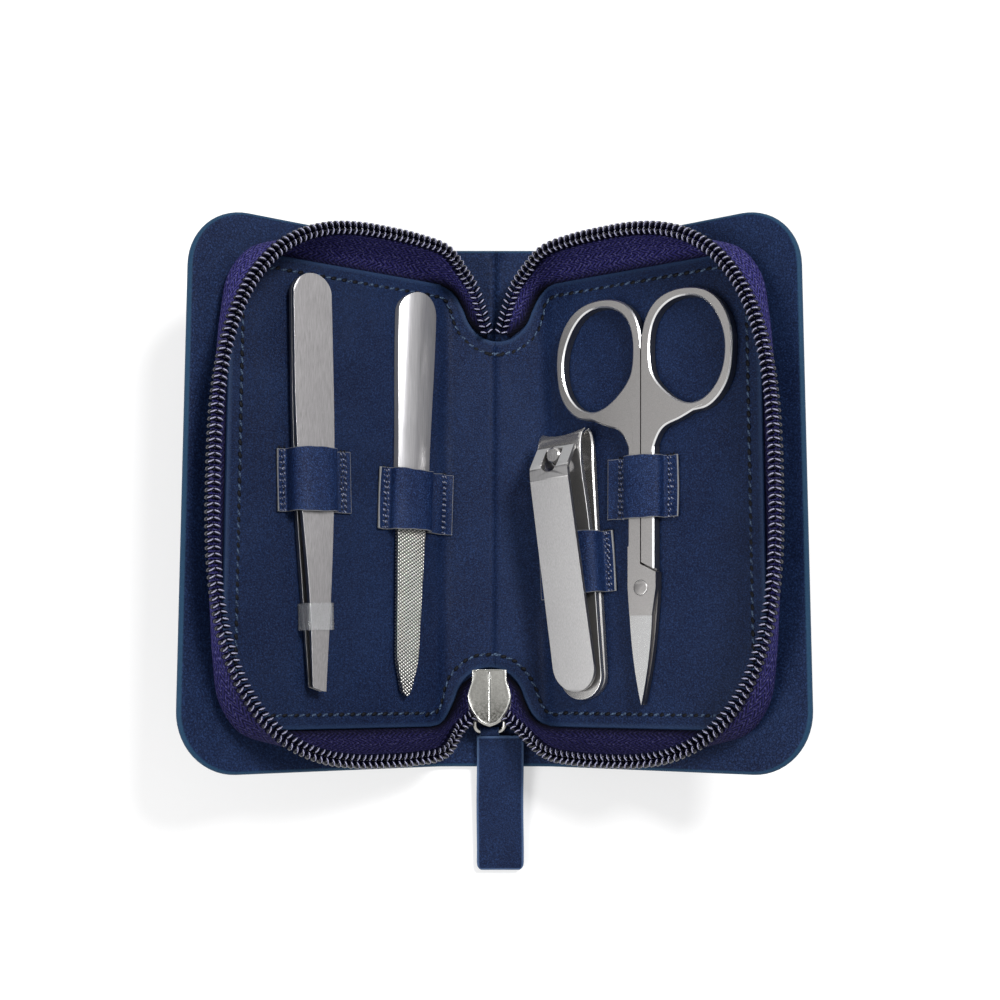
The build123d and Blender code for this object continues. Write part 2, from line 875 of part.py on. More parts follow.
with BuildPart() as clipper_lower:
    with BuildSketch(side_view(clipper_seat)):
        add(lower_profile())
    extrude(amount=clipper_width, both=True)
    with BuildSketch(clipper_seat):
        add(clipper_plan())
    extrude(amount=2 * pin_height, both=True, mode=Mode.INTERSECT)
    with BuildSketch(clipper_seat):
        with Locations((0, pin_along)):
            Circle(pin_radius + clearance)
        with Locations((0, rivet_along)):
            Circle(rivet_radius)
    extrude(amount=pin_height, both=True, mode=Mode.SUBTRACT)
    chamfer(outer_edges(clipper_lower, clipper_seat, clipper_arm / 2, 0), soft_edge)
save(clipper_lower, "clipper_lower_arm")

with BuildPart() as clipper_upper:
    with BuildSketch(side_view(clipper_seat)):
        add(upper_profile())
    extrude(amount=clipper_width, both=True)
    with BuildSketch(clipper_seat):
        add(clipper_plan())
    extrude(amount=2 * pin_height, both=True, mode=Mode.INTERSECT)
    with BuildSketch(clipper_seat):
        with Locations((0, pin_along)):
            SlotOverall(
                2 * (pin_radius + 2 * clearance) + clearance,
                2 * (pin_radius + 2 * clearance),
                rotation=90,
            )
        with Locations((0, rivet_along)):
            Circle(rivet_radius + clearance)
    extrude(amount=2 * pin_height, mode=Mode.SUBTRACT)
save(clipper_upper, "clipper_upper_arm")

rivet_top = 2 * clipper_arm + running_gap
with BuildPart() as clipper_rivet:
    with BuildSketch(clipper_seat):
        with Locations((0, rivet_along)):
            Circle(rivet_radius)
    extrude(amount=rivet_top + 2 * running_gap)
    with BuildSketch(clipper_seat.offset(rivet_top + 2 * running_gap)):
        with Locations((0, rivet_along)):
            Circle(rivet_radius + 2 * clearance)
    extrude(amount=2 * clearance)
save(clipper_rivet, "clipper_rivet")

pin_top = pin_height
bar_along = pin_along + pin_radius - clearance - running_gap
bar_level = pin_top - 2 * lever_bar_radius - leather_thickness + clearance
groove_radius = lever_bar_radius + running_gap + clearance
with BuildPart() as clipper_pin:
    with BuildSketch(clipper_seat.offset(running_gap)):
        with Locations((0, pin_along)):
            Circle(pin_radius)
    extrude(amount=pin_top - running_gap)
    chamfer(clipper_pin.faces().sort_by(Axis.Z)[-1].edges(), soft_edge)
    with BuildSketch(side_view(clipper_seat)):
        with Locations((bar_along, bar_level)):
            Circle(groove_radius)
    extrude(amount=2 * pin_radius, both=True, mode=Mode.SUBTRACT)
save(clipper_pin, "clipper_pin")

lever_plate_level = lever_crest - lever_thickness
bend_along = pin_along - pin_radius - 2 * lever_thickness
lever_back = back + pin_radius
with BuildPart() as lever:
    half_plate = lever_thickness / 2
    with BuildSketch(side_view(clipper_seat)):
        with BuildLine() as lever_path:
            FilletPolyline(
                (bar_along, bar_level),
                (bend_along + lever_thickness, lever_plate_level + half_plate),
                (bend_along - lever_thickness, lever_plate_level + half_plate),
                (lever_back, lever_tail_height - half_plate),
                radius=lever_thickness,
            )
        trace(line_width=lever_thickness)
    extrude(amount=lever_tail_width, both=True)
    with BuildSketch(clipper_seat):
        tail = lever_tail_width / 2
        nose = lever_width / 2
        with BuildLine():
            CenterArc((0, lever_back + tail), tail, 180, 180)
            Polyline(
                (tail, lever_back + tail),
                (nose, bar_along + lever_thickness),
                (-nose, bar_along + lever_thickness),
                (-tail, lever_back + tail),
            )
        make_face()
        slot_back = bend_along + clearance
        slot_front = bar_along + lever_thickness
        slot_round = slot_back + lever_slot_width / 2
        with Locations((0, slot_round)):
            Circle(lever_slot_width / 2, mode=Mode.SUBTRACT)
            Rectangle(
                lever_slot_width,
                slot_front - slot_round,
                align=(Align.CENTER, Align.MIN),
                mode=Mode.SUBTRACT,
            )
    extrude(amount=2 * lever_crest, mode=Mode.INTERSECT)
    chamfer(outer_edges(lever, clipper_seat, lever_tail_height, bend_along), soft_edge)
    with BuildSketch(side_view(clipper_seat)):
        with Locations((bar_along, bar_level)):
            Circle(lever_bar_radius)
    extrude(amount=nose, both=True)
save(lever, "clipper_lever")

loop(
    "loop_clipper",
    clipper_seat,
    0,
    clipper_tunnel,
    clipper_shoulder - 4 * clearance,
    clipper_seam,
    loop_seam,
    1,
)

# ------------------------------------------------------- scissors
# a ring's rim and its hole, from the middle slit outwards, as shares of its width and height
ring_rim = (
    (0.066, 0.825),
    (0.175, 0.933),
    (0.349, 0.992),
    (0.5, 1.0),
    (0.75, 0.948),
    (0.91, 0.821),
    (1.0, 0.608),
    (1.0, 0.42),
    (0.962, 0.254),
    (0.858, 0.116),
    (0.708, 0.034),
    (0.519, 0.007),
)
ring_hole = (
    (0.5, 0.935),
    (0.703, 0.881),
    (0.849, 0.731),
    (0.92, 0.534),
    (0.91, 0.377),
    (0.84, 0.228),
    (0.703, 0.116),
    (0.575, 0.084),
    (0.425, 0.112),
    (0.255, 0.211),
    (0.13, 0.347),
    (0.097, 0.507),
    (0.111, 0.683),
    (0.203, 0.84),
    (0.358, 0.92),
)
slit_end = 0.664
slit_flare = 0.15

scissors_seat = tool_seat(1, scissors_across, scissors_along, scissors_lean)
scissors_end = scissors_length / 2
ring_foot = scissors_end - ring_height
shank_half = shank_width / 2
shank_inner = shank_gap / 2
lobe_outer = shank_half + lobe_room
half_thickness = scissors_thickness / 2 - running_gap
upper_level = scissors_thickness - half_thickness
grind_line = blade_length - scissors_end
pivot_along = grind_line + pivot_above_blade
step_along = pivot_along + step_above_pivot


def ring_points(side, shares):
    """Points on one finger ring from their shares of its width and height."""
    return [(side * ring_width * x, ring_foot + ring_height * y) for x, y in shares]


def below_step(mode, gap):
    """A face covering all below the slanted step between the shanks and the crossing lobes."""
    wide, low = 2 * lobe_outer, -2 * scissors_end
    Polygon(
        (-wide, low),
        (wide, low),
        (wide, step_along - step_rise - gap),
        (-wide, step_along + step_rise - gap),
        align=None,
        mode=mode,
    )


def ring_and_shank(side):
    """One finger ring with the web that gathers into its shank."""
    rim = ring_points(side, ring_rim)
    web = (side * (shank_half + web_round), ring_foot)
    shank_top = (side * shank_half, ring_foot - web_round)
    slit_top = (side * shank_inner, ring_foot + ring_height * slit_end)
    with BuildSketch(mode=Mode.PRIVATE) as outline:
        with BuildLine():
            Spline(slit_top, *rim, web, shank_top, tangents=((side * slit_flare, 1), (0, -1)))
            Polyline(
                shank_top,
                (side * shank_half, pivot_along),
                (side * shank_inner, pivot_along),
                slit_top,
            )
        make_face()
        with BuildLine():
            Spline(*ring_points(side, ring_hole), periodic=True)
        make_face(mode=Mode.SUBTRACT)
    return outline.sketch


def blade_outline(offset):
    """The crossing lobe round the pivot and the blade that curves to its point below."""
    edge, curve = blade_width / 2, (grind_line - scissors_end) / 2
    above = step_along + 2 * step_rise
    with BuildSketch(mode=Mode.PRIVATE) as outline:
        with BuildLine():
            Polyline(
                (-edge, grind_line),
                (-shank_half, pivot_along),
                (-shank_half, above),
                (lobe_outer, above),
                (lobe_outer, pivot_along),
                (edge + offset, grind_line),
            )
            Spline(
                (edge + offset, grind_line),
                (blade_width / 3 + offset / 2, curve),
                (0, -scissors_end),
            )
            Spline((-edge, grind_line), (-blade_width / 3, curve), (0, -scissors_end))
        make_face()
    return outline.sketch


def scissors_half(side, level, offset, name, hole_radius):
    """One half: full-thickness ring and shank, half-thickness lobe and blade at this level."""
    with BuildPart() as piece:
        with BuildSketch(scissors_seat):
            add(ring_and_shank(side))
        extrude(amount=scissors_thickness)
        middles = [(scissors_seat.to_local_coords(e.center()), e) for e in piece.edges()]
        rims = [
            edge
            for middle, edge in middles
            if middle.Z > scissors_thickness - running_gap and abs(middle.X) > shank_half / 2
        ]
        chamfer(rims, soft_edge)
        with BuildSketch(scissors_seat):
            below_step(Mode.ADD, 0)
        extrude(amount=scissors_thickness, mode=Mode.SUBTRACT)
        with BuildSketch(scissors_seat.offset(level)):
            add(blade_outline(offset))
            below_step(Mode.INTERSECT, step_gap)
        extrude(amount=half_thickness)
        with BuildSketch(scissors_seat.offset(level)):
            with Locations((side * (shank_half + shank_inner) / 2, step_along)):
                Rectangle(shank_half - shank_inner, 2 * step_rise)
        extrude(amount=half_thickness)
        with BuildSketch(scissors_seat):
            with Locations((0, pivot_along)):
                Circle(hole_radius)
        extrude(amount=scissors_thickness, mode=Mode.SUBTRACT)
        with BuildSketch(side_view(scissors_seat)):
            Polygon(
                (grind_line, scissors_thickness - grind_step),
                (grind_line, 2 * scissors_thickness),
                (-2 * scissors_end, 2 * scissors_thickness),
                (-2 * scissors_end, scissors_thickness - grind_depth),
                align=None,
            )
        extrude(amount=blade_width, both=True, mode=Mode.SUBTRACT)
    save(piece, name)


scissors_half(1, 0, blade_offset, "scissors_lower_half", screw_radius)
scissors_half(-1, upper_level, 0, "scissors_upper_half", screw_radius + running_gap)

with BuildPart() as screw:
    with BuildSketch(scissors_seat):
        with Locations((0, pivot_along)):
            Circle(screw_radius)
    extrude(amount=scissors_thickness + clearance / 2)
    head = screw.faces().filter_by(scissors_seat).sort_by(Axis.Z)[-1]
    chamfer(head.edges(), clearance / 2)
save(screw, "scissors_screw")

loop(
    "loop_scissors",
    scissors_seat,
    shank_width / 3,
    scissors_tunnel,
    scissors_thickness + 2 * clearance,
    loop_seam,
    loop_wide_seam,
    1,
)
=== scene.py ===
from functools import partial
from math import cos, pi, radians, sin

import bmesh
import bpy
import numpy as np
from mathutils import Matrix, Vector
from mathutils.geometry import delaunay_2d_cdt


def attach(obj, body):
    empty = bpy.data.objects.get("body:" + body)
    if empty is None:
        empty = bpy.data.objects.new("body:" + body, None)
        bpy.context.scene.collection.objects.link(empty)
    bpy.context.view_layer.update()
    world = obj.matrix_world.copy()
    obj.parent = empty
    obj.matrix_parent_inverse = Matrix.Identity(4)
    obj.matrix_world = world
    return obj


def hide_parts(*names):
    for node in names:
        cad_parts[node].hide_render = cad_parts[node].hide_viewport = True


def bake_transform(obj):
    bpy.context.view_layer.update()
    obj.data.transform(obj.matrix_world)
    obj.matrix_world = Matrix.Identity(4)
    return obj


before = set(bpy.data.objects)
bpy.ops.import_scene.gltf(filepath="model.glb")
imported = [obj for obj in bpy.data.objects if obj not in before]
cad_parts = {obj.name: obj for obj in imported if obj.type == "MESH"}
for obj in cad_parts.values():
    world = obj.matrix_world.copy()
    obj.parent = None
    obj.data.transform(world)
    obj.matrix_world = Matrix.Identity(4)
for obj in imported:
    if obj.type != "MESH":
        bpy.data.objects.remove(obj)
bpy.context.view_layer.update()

scene = bpy.context.scene
MM = 0.001

# ------------------------------------------------------- sizes of the case, mm and degrees
SPINE_HALF = 12.0
COVER_TOP = 1.8
OPEN = radians(35)
FOLD_SOFTNESS = 2.2
PANEL_REACH = SPINE_HALF + 61.0
HALF_HEIGHT = 58.0
CORNER = 13.0
LINING_REACH = SPINE_HALF + 53.0
LINING_HALF = 49.3
LINING_CORNER = 10.5
LINING_THICK = 1.2
BOARD = 1.0
STITCH_INSET = 3.0
NOTCH_CENTRES = {-1: -1.2, 1: 0.6}
ZIP_MIDDLE = 61.0 / 3
SIDES = ((-1, "left"), (1, "right"))


# ------------------------------------------------------- places on the case
def unit(vectors):
    """The vectors, each of length 1."""
    return vectors / np.linalg.norm(vectors, axis=-1, keepdims=True)


def turned_left(ahead):
    """Unit directions a quarter turn to the left of these flat ones."""
    ahead = unit(ahead)
    return np.stack([-ahead[..., 1], ahead[..., 0]], axis=-1)


def soft_fold(reach):
    """The cover's inner face at this distance from the middle: its (x, z) and its normal."""
    reach = np.asarray(reach, float)
    turned = np.array([cos(OPEN), sin(OPEN)])
    flat = np.array([1.0, 0.0])
    step = np.clip((reach - SPINE_HALF) / (2 * FOLD_SOFTNESS) + 0.5, 0, 1)[..., None]
    corner = np.array([SPINE_HALF, COVER_TOP])
    past = np.maximum(reach - SPINE_HALF - FOLD_SOFTNESS, 0)[..., None]
    short = np.minimum(reach - SPINE_HALF + FOLD_SOFTNESS, 0)[..., None]
    start, end = corner - FOLD_SOFTNESS * flat, corner + FOLD_SOFTNESS * turned
    place = (1 - step) ** 2 * start + 2 * step * (1 - step) * corner + step**2 * end
    place = place + past * turned + short * flat
    return place, turned_left((1 - step) * flat + step * turned)


def on_skin(side, reach, along, rise):
    """World points from distances along the cover, up the spine and above the cover."""
    place, normal = soft_fold(reach)
    rise = np.asarray(rise, float)
    x = side * (place[..., 0] + normal[..., 0] * rise)
    z = place[..., 1] + normal[..., 1] * rise
    return np.stack([x, np.broadcast_to(np.asarray(along, float), x.shape), z], axis=-1)


def on_half(side, across, along, rise):
    """World points drawn on one half's own plane."""
    across, along, rise = np.broadcast_arrays(across, along, rise)
    x = side * (SPINE_HALF + across * cos(OPEN) - rise * sin(OPEN))
    z = COVER_TOP + across * sin(OPEN) + rise * cos(OPEN)
    return np.stack([x, along, z], axis=-1)


def gone_along(line):
    """The length of a line up to each of its points."""
    return np.concatenate([[0], np.cumsum(np.linalg.norm(np.diff(line, axis=0), axis=1))])


def evenly(line, gone, count):
    """The line again, in even steps of the length gone."""
    even = np.linspace(0, gone[-1], count)
    return np.stack([np.interp(even, gone, column) for column in line.T], axis=-1)


def smooth_line(points, count=None, pitch=None):
    """A smooth line through the points, in even steps."""
    points = np.asarray(points, float)
    padded = np.vstack([2 * points[0] - points[1], points, 2 * points[-1] - points[-2]])
    t = np.linspace(0, 1, 24, endpoint=False)[:, None]
    fine = []
    for a, b, c, d in zip(padded, padded[1:], padded[2:], padded[3:]):
        bend, twist = 2 * a - 5 * b + 4 * c - d, 3 * b - a - 3 * c + d
        fine.append(0.5 * (2 * b + (c - a) * t + bend * t**2 + twist * t**3))
    fine = np.vstack([*fine, points[-1:]])
    gone = gone_along(fine)
    if count is None:
        count = max(int(round(gone[-1] / pitch)) + 1, 2)
    return evenly(fine, gone, count)


def smooth_step(value, start, end):
    """0 up to start, 1 from end, smooth between."""
    step = np.clip((np.asarray(value, float) - start) / (end - start), 0, 1)
    return step * step * (3 - 2 * step)


# ------------------------------------------------------- meshes
def new_piece(name, points, faces, material, uvs=None, values=None, flat_faces=False):
    """A mesh object from millimetre points, faces, uvs per point and named values per point."""
    mesh = bpy.data.meshes.new(name)
    mesh.from_pydata([tuple(point) for point in np.asarray(points) * MM], [], faces)
    if uvs is not None:
        layer = mesh.uv_layers.new(name="UVMap")
        for loop in mesh.loops:
            layer.data[loop.index].uv = uvs[loop.vertex_index]
    for label, numbers in (values or {}).items():
        layer = mesh.attributes.new(label, "FLOAT", "POINT")
        layer.data.foreach_set("value", np.asarray(numbers, np.float32).ravel())
    mesh.polygons.foreach_set("use_smooth", [not flat_faces] * len(mesh.polygons))
    mesh.materials.append(material)
    mesh.update()
    piece = bpy.data.objects.new(name, mesh)
    scene.collection.objects.link(piece)
    return piece


def settle_normals(piece, merge=0.0):
    """Merges doubles, closes what is open and turns all faces outwards."""
    work = bmesh.new()
    work.from_mesh(piece.data)
    if merge:
        bmesh.ops.remove_doubles(work, verts=work.verts, dist=merge * MM)
    open_edges = [edge for edge in work.edges if edge.is_boundary]
    if open_edges:
        bmesh.ops.holes_fill(work, edges=open_edges, sides=0)
    bmesh.ops.recalc_face_normals(work, faces=work.faces)
    work.to_mesh(piece.data)
    work.free()
    piece.data.update()
    return piece


def grid_faces(rows, columns, closed=False):
    """Quads of a grid of points, the last column joined to the first where closed."""
    faces = []
    span = columns if closed else columns - 1
    for row in range(rows - 1):
        for column in range(span):
            a = row * columns + column
            b = row * columns + (column + 1) % columns
            faces.append((a, b, b + columns, a + columns))
    return faces


def sheet_parts(middle, thickness, uvs=None, values=None):
    """Points, faces, uvs and values of a closed shell about a grid of middle points."""
    rows, columns = middle.shape[:2]
    half = np.asarray(thickness)[..., None] / 2 if np.ndim(thickness) else thickness / 2
    normal = unit(np.cross(np.gradient(middle, axis=1), np.gradient(middle, axis=0)))
    top = (middle + normal * half).reshape(-1, 3)
    low = (middle - normal * half).reshape(-1, 3)
    count = rows * columns
    faces = grid_faces(rows, columns)
    faces += [tuple(count + corner for corner in reversed(face)) for face in faces]
    rim = list(range(columns))
    rim += [row * columns + columns - 1 for row in range(1, rows)]
    rim += [(rows - 1) * columns + column for column in range(columns - 2, -1, -1)]
    rim += [row * columns for row in range(rows - 2, 0, -1)]
    for a, b in zip(rim, rim[1:] + rim[:1]):
        faces.append((b, a, a + count, b + count))
    if uvs is not None:
        uvs = np.vstack([uvs.reshape(-1, 2)] * 2)
    if values is not None:
        values = {label: np.tile(np.ravel(row), 2) for label, row in values.items()}
    return np.vstack([top, low]), faces, uvs, values


def piece_of(name, material, *parts):
    """One piece from several closed shells that share their values' names."""
    points, faces, uvs, values, first = [], [], [], {}, 0
    for part_points, part_faces, part_uvs, part_values in parts:
        points.append(part_points)
        faces += [tuple(first + corner for corner in face) for face in part_faces]
        first += len(part_points)
        uvs.append(part_uvs)
        for label, numbers in (part_values or {}).items():
            values.setdefault(label, []).append(numbers)
    uvs = None if uvs[0] is None else np.vstack(uvs)
    values = {label: np.concatenate(numbers) for label, numbers in values.items()}
    return settle_normals(new_piece(name, np.vstack(points), faces, material, uvs, values))


def inset_line(line, amount):
    """An open outline moved inwards; its two ends stay on the middle of the case."""
    moved = line + turned_left(np.gradient(line, axis=0)) * amount
    moved[[0, -1], 0] = line[[0, -1], 0]
    return moved


def inside(outline, points):
    """Which of the points lie within the closed outline."""
    result = np.zeros(len(points), bool)
    x, y = points[:, 0], points[:, 1]
    for (x0, y0), (x1, y1) in zip(outline, np.roll(outline, -1, axis=0)):
        if y0 != y1:
            result ^= ((y0 > y) != (y1 > y)) & (x < (x1 - x0) * (y - y0) / (y1 - y0) + x0)
    return result


# between a panel's inner points, on its flat parts and over the fold
SPOT_GAP = 2.5
FOLD_GAP = 0.5
DOUBLES = 0.002


def panel_shell(name, side, outline, rim, base, material, swell=None):
    """A leather panel: its flat outline, its rim as (inset, height), laid over the fold.

    The outline runs from the middle of the case at its lower end to the middle at its upper end.
    """
    rings = [inset_line(outline, inset) for inset, height in rim]
    inner = rings[-1]
    columns = np.concatenate(
        [
            np.arange(1.5, SPINE_HALF - 3, SPOT_GAP),
            np.arange(SPINE_HALF - 3, SPINE_HALF + 3.01, FOLD_GAP),
            np.arange(SPINE_HALF + 5, PANEL_REACH, SPOT_GAP),
        ]
    )
    rows = np.arange(-HALF_HEIGHT, HALF_HEIGHT, SPOT_GAP)
    spots = np.array([(x, y) for x in columns for y in rows])
    spots = spots[inside(inset_line(inner, 0.8), spots)]
    closing = rows[(rows > inner[0, 1] + 1) & (rows < inner[-1, 1] - 1)][::-1]
    closing = np.column_stack([np.zeros(len(closing)), closing])
    border = np.vstack([inner, closing])
    edges = [(step, (step + 1) % len(border)) for step in range(len(border))]
    found = delaunay_2d_cdt(
        [Vector(point) for point in np.vstack([border, spots])], edges, [], 1, 1e-4
    )
    flat = np.array([tuple(point) for point in found[0]])
    triangles = [tuple(face) for face in found[2]]
    low, high = rim[0][1], rim[-1][1]

    def lift(spread, height):
        rise = swell(spread) if swell else np.zeros(len(spread))
        return height + rise * (height - low) / (high - low)

    points = [np.column_stack([ring, lift(ring, rim[step][1])]) for step, ring in enumerate(rings)]
    rimmed = [np.full(len(ring), float(rim[step][0] < 0.5)) for step, ring in enumerate(rings)]
    around = len(outline)
    faces = grid_faces(len(rings), around)
    upper = len(rings) * around
    lower = upper + len(flat)
    for start, height, turned in ((upper, high, False), (lower, low, True)):
        points.append(np.column_stack([flat, lift(flat, height)]))
        rimmed.append(np.zeros(len(flat)))
        for face in triangles:
            faces.append(tuple(start + corner for corner in (face[::-1] if turned else face)))
    middle = [spot for spot in np.argsort(flat[:, 1]) if flat[spot, 0] < 1e-4]
    for a, b in zip(middle, middle[1:]):
        faces.append((upper + a, upper + b, lower + b, lower + a))
    for step in (0, around - 1):
        faces.append(tuple(row * around + step for row in range(len(rings))))
    points = np.vstack(points)
    world = on_skin(side, points[:, 0], points[:, 1], points[:, 2] + base(points[:, 0]))
    piece = new_piece(name, world, faces, material, values={"rim": np.concatenate(rimmed)})
    return settle_normals(piece, merge=DOUBLES)


# ------------------------------------------------------- node maths
def feed(slot, value):
    """Gives a socket a wire, a node's first output or a plain value."""
    if isinstance(value, bpy.types.Node):
        value = Wire(value)
    if isinstance(value, Wire):
        slot.id_data.links.new(value.socket, slot)
    else:
        slot.default_value = value


def add_node(tree, kind, settings=None, **sockets):
    """Adds any node: its settings first, then its sockets by name."""
    node = tree.nodes.new(kind)
    for label, value in (settings or {}).items():
        setattr(node, label, value)
    for label, value in sockets.items():
        label = label.replace("_", " ")
        feed(next(slot for slot in node.inputs if slot.name == label and slot.enabled), value)
    return node


class Wire:
    """A node's output that adds Math nodes when it is used in an expression."""

    def __init__(self, node, output=0):
        self.tree, self.socket = node.id_data, node.outputs[output]

    def math(self, operation, *others):
        node = add_node(self.tree, "ShaderNodeMath", {"operation": operation})
        for slot, value in zip(node.inputs, (self, *others)):
            feed(slot, value)
        return Wire(node)

    def __add__(self, other):
        return self.math("ADD", other)

    def __sub__(self, other):
        return self.math("SUBTRACT", other)

    def __mul__(self, other):
        return self.math("MULTIPLY", other)

    def __truediv__(self, other):
        return self.math("DIVIDE", other)

    def __radd__(self, other):
        return self + other

    def __rmul__(self, other):
        return self * other

    def __rsub__(self, other):
        return self * -1 + other

    def clamp(self):
        result = self.math("ADD", 0.0)
        result.socket.node.use_clamp = True
        return result

    def step(self, low, high):
        """0 below low, 1 above high, smooth between."""
        share = ((self - low) / (high - low)).clamp()
        return share * share * (3 - 2 * share)


def scaled(values, factor):
    """The values, each times the factor."""
    return tuple(value * factor for value in values)


class Finish:
    """One material, built from wires."""

    def __init__(self, name):
        self.material = bpy.data.materials.new(name)
        self.material.use_nodes = True
        self.tree = self.material.node_tree
        self.tree.nodes.clear()

    def node(self, kind, settings=None, **sockets):
        return add_node(self.tree, "ShaderNode" + kind, settings, **sockets)

    def place(self, scale=(1.0, 1.0, 1.0), source="Object"):
        """Coordinates on the piece in millimetres, stretched by scale."""
        size = 1 / MM if source == "Object" else 1.0
        coords = Wire(self.node("TexCoord"), source)
        return Wire(self.node("Mapping", Vector=coords, Scale=scaled(scale, size)))

    def axes(self, where):
        """The first two numbers of a place."""
        parts = self.node("SeparateXYZ", Vector=where)
        return Wire(parts, "X"), Wire(parts, "Y")

    def noise(self, where, scale, detail=2.0, roughness=0.5):
        return Wire(
            self.node("TexNoise", Vector=where, Scale=scale, Detail=detail, Roughness=roughness)
        )

    def cells(self, where, scale, feature="F1", randomness=1.0):
        settings = {"feature": feature}
        sockets = {"Vector": where, "Scale": scale, "Randomness": randomness}
        return Wire(self.node("TexVoronoi", settings, **sockets))

    def value_of(self, label):
        return Wire(self.node("Attribute", {"attribute_name": label}), "Fac")

    def mix(self, share, first, second):
        """One colour passing into another."""
        node = self.node("Mix", {"data_type": "RGBA"})
        feed(node.inputs[0], share)
        for slot, colour in ((6, first), (7, second)):
            feed(node.inputs[slot], colour if isinstance(colour, Wire) else (*colour, 1.0))
        return Wire(node, 2)

    def bump(self, height, depth, **under):
        """A bump of this depth in millimetres, over the Normal that is given."""
        return Wire(self.node("Bump", Height=height, Distance=depth * MM, Strength=1.0, **under))

    def surface(self, **sockets):
        """Ends the material in a Principled BSDF with these sockets."""
        self.node("OutputMaterial", Surface=self.node("BsdfPrincipled", **sockets))
        return self.material


def srgb(red, green, blue):
    """A colour written in 0 to 255 as the linear numbers that a shader takes."""
    return tuple(
        value / 12.92 if value <= 0.04045 else ((value + 0.055) / 1.055) ** 2.4
        for value in (red / 255, green / 255, blue / 255)
    )


def leather(name, deep, light, edge, grain, rough, sheen=0.08, glint_share=0.3):
    """Fine-grained dyed leather with painted glints as pale specks on the grain and a paler cut or
    turned edge.
    """
    finish = Finish(name)
    where = finish.place()
    pebble = finish.cells(where, 1 / grain, "DISTANCE_TO_EDGE")
    crease = pebble.step(0.0, 0.22)
    pores = finish.noise(where, 2.4, 3.0, 0.7)
    cloud = finish.noise(where, 0.06, 3.0)
    share = (cloud.step(0.3, 0.7) * 0.35 + pores.step(0.36, 0.64) * 0.65).clamp()
    tone = finish.mix(share, deep, light)
    tone = finish.mix((1 - crease) * 0.45, tone, scaled(deep, 0.35))
    # painted highlight: pale specks, brighter than the leather, stand for glints on the grain
    painted_glints = finish.noise(where, 1.5 / grain, 2.0, 0.6)
    tone = finish.mix(painted_glints.step(0.52, 0.66) * glint_share, tone, scaled(light, 2.6))
    worn = finish.value_of("rim") * (0.55 + 0.4 * finish.noise(where, 0.9, 3.0, 0.7))
    tone = finish.mix(worn.clamp(), tone, edge)
    under = finish.bump(crease * 0.6 + pores * 0.6, 0.05)
    normal = finish.bump(finish.noise(where, 0.12, 2.0), 0.4, Normal=under)
    return finish.surface(
        Base_Color=tone,
        Roughness=rough + pores * 0.16 - crease * 0.08,
        Normal=normal,
        Specular_IOR_Level=sheen,
    )


def brushed(name, colour, rough, stretch, depth, streak, fleck=0.0, metal=1.0):
    """Steel with fine lines along it, and dark grit where it is flecked."""
    finish = Finish(name)
    lines = finish.noise(finish.place(stretch), 3.0, 4.0, 0.65)
    broad = finish.noise(finish.place(), 0.12, 2.0)
    tone = finish.mix(lines.step(0.3, 0.7), scaled(colour, 1 - 2.2 * streak), colour)
    roughness = rough + (lines - 0.5) * 0.12 + (broad - 0.5) * 0.08
    height = lines
    if fleck:
        grit = finish.noise(finish.place(), 9.0, 2.0, 0.7)
        tone = finish.mix(grit.step(0.45, 0.75) * fleck, tone, scaled(colour, 0.35))
        height = lines * 0.4 + grit
    return finish.surface(
        Base_Color=tone, Metallic=metal, Roughness=roughness, Normal=finish.bump(height, depth)
    )


NAVY = srgb(26, 42, 74)
NAVY_DEEP = srgb(9, 18, 44)
cover_leather = leather("cover leather", NAVY_DEEP, NAVY, srgb(34, 64, 88), 0.6, 0.5)
lining_leather = leather("lining leather", NAVY_DEEP, NAVY, srgb(40, 58, 88), 0.5, 0.44)
# the loop leather's last number is its share of painted glints
loop_leather = leather(
    "loop leather", srgb(4, 14, 46), srgb(30, 48, 84), srgb(150, 150, 148), 0.4, 0.42, 0.12, 0.5
)
strap_leather = leather("strap leather", NAVY_DEEP, NAVY, srgb(76, 98, 132), 0.45, 0.44)
tweezer_steel = brushed("tweezer steel", (0.335, 0.325, 0.33), 0.34, (4, 0.12, 4), 0.006, 0.16)
lever_steel = brushed("lever steel", (0.36, 0.355, 0.355), 0.4, (5, 0.08, 5), 0.002, 0.12)
# painted highlight: a lighter, less metallic copy of the lever's steel for the ramp at its pin end
ramp_highlight_steel = brushed("ramp highlight steel", (0.42, 0.42, 0.42), 0.4, (5, 0.4, 5), 0.003, 0.08, metal=0.3)
polished_steel = brushed(
    "polished steel", (0.48, 0.47, 0.46), 0.2, (5, 0.15, 5), 0.003, 0.05, metal=0.88
)
handle_steel = brushed(
    "handle steel", (0.36, 0.355, 0.365), 0.24, (6, 0.05, 6), 0.002, 0.14, metal=0.5
)
# painted highlight: a pale steel for bevelled edges, where light catches them
painted_highlight_edge = brushed("painted highlight edge", (0.82, 0.82, 0.82), 0.3, (5, 0.15, 5), 0.002, 0.03)
scissor_steel = brushed("scissor steel", (0.30, 0.29, 0.285), 0.36, (3, 1.2, 3), 0.006, 0.09)
ground_steel = brushed("ground steel", (0.47, 0.47, 0.47), 0.24, (0.3, 6, 3), 0.004, 0.06)
nickel = brushed("nickel", (0.5, 0.49, 0.46), 0.26, (4, 2, 4), 0.006, 0.05, 0.2)

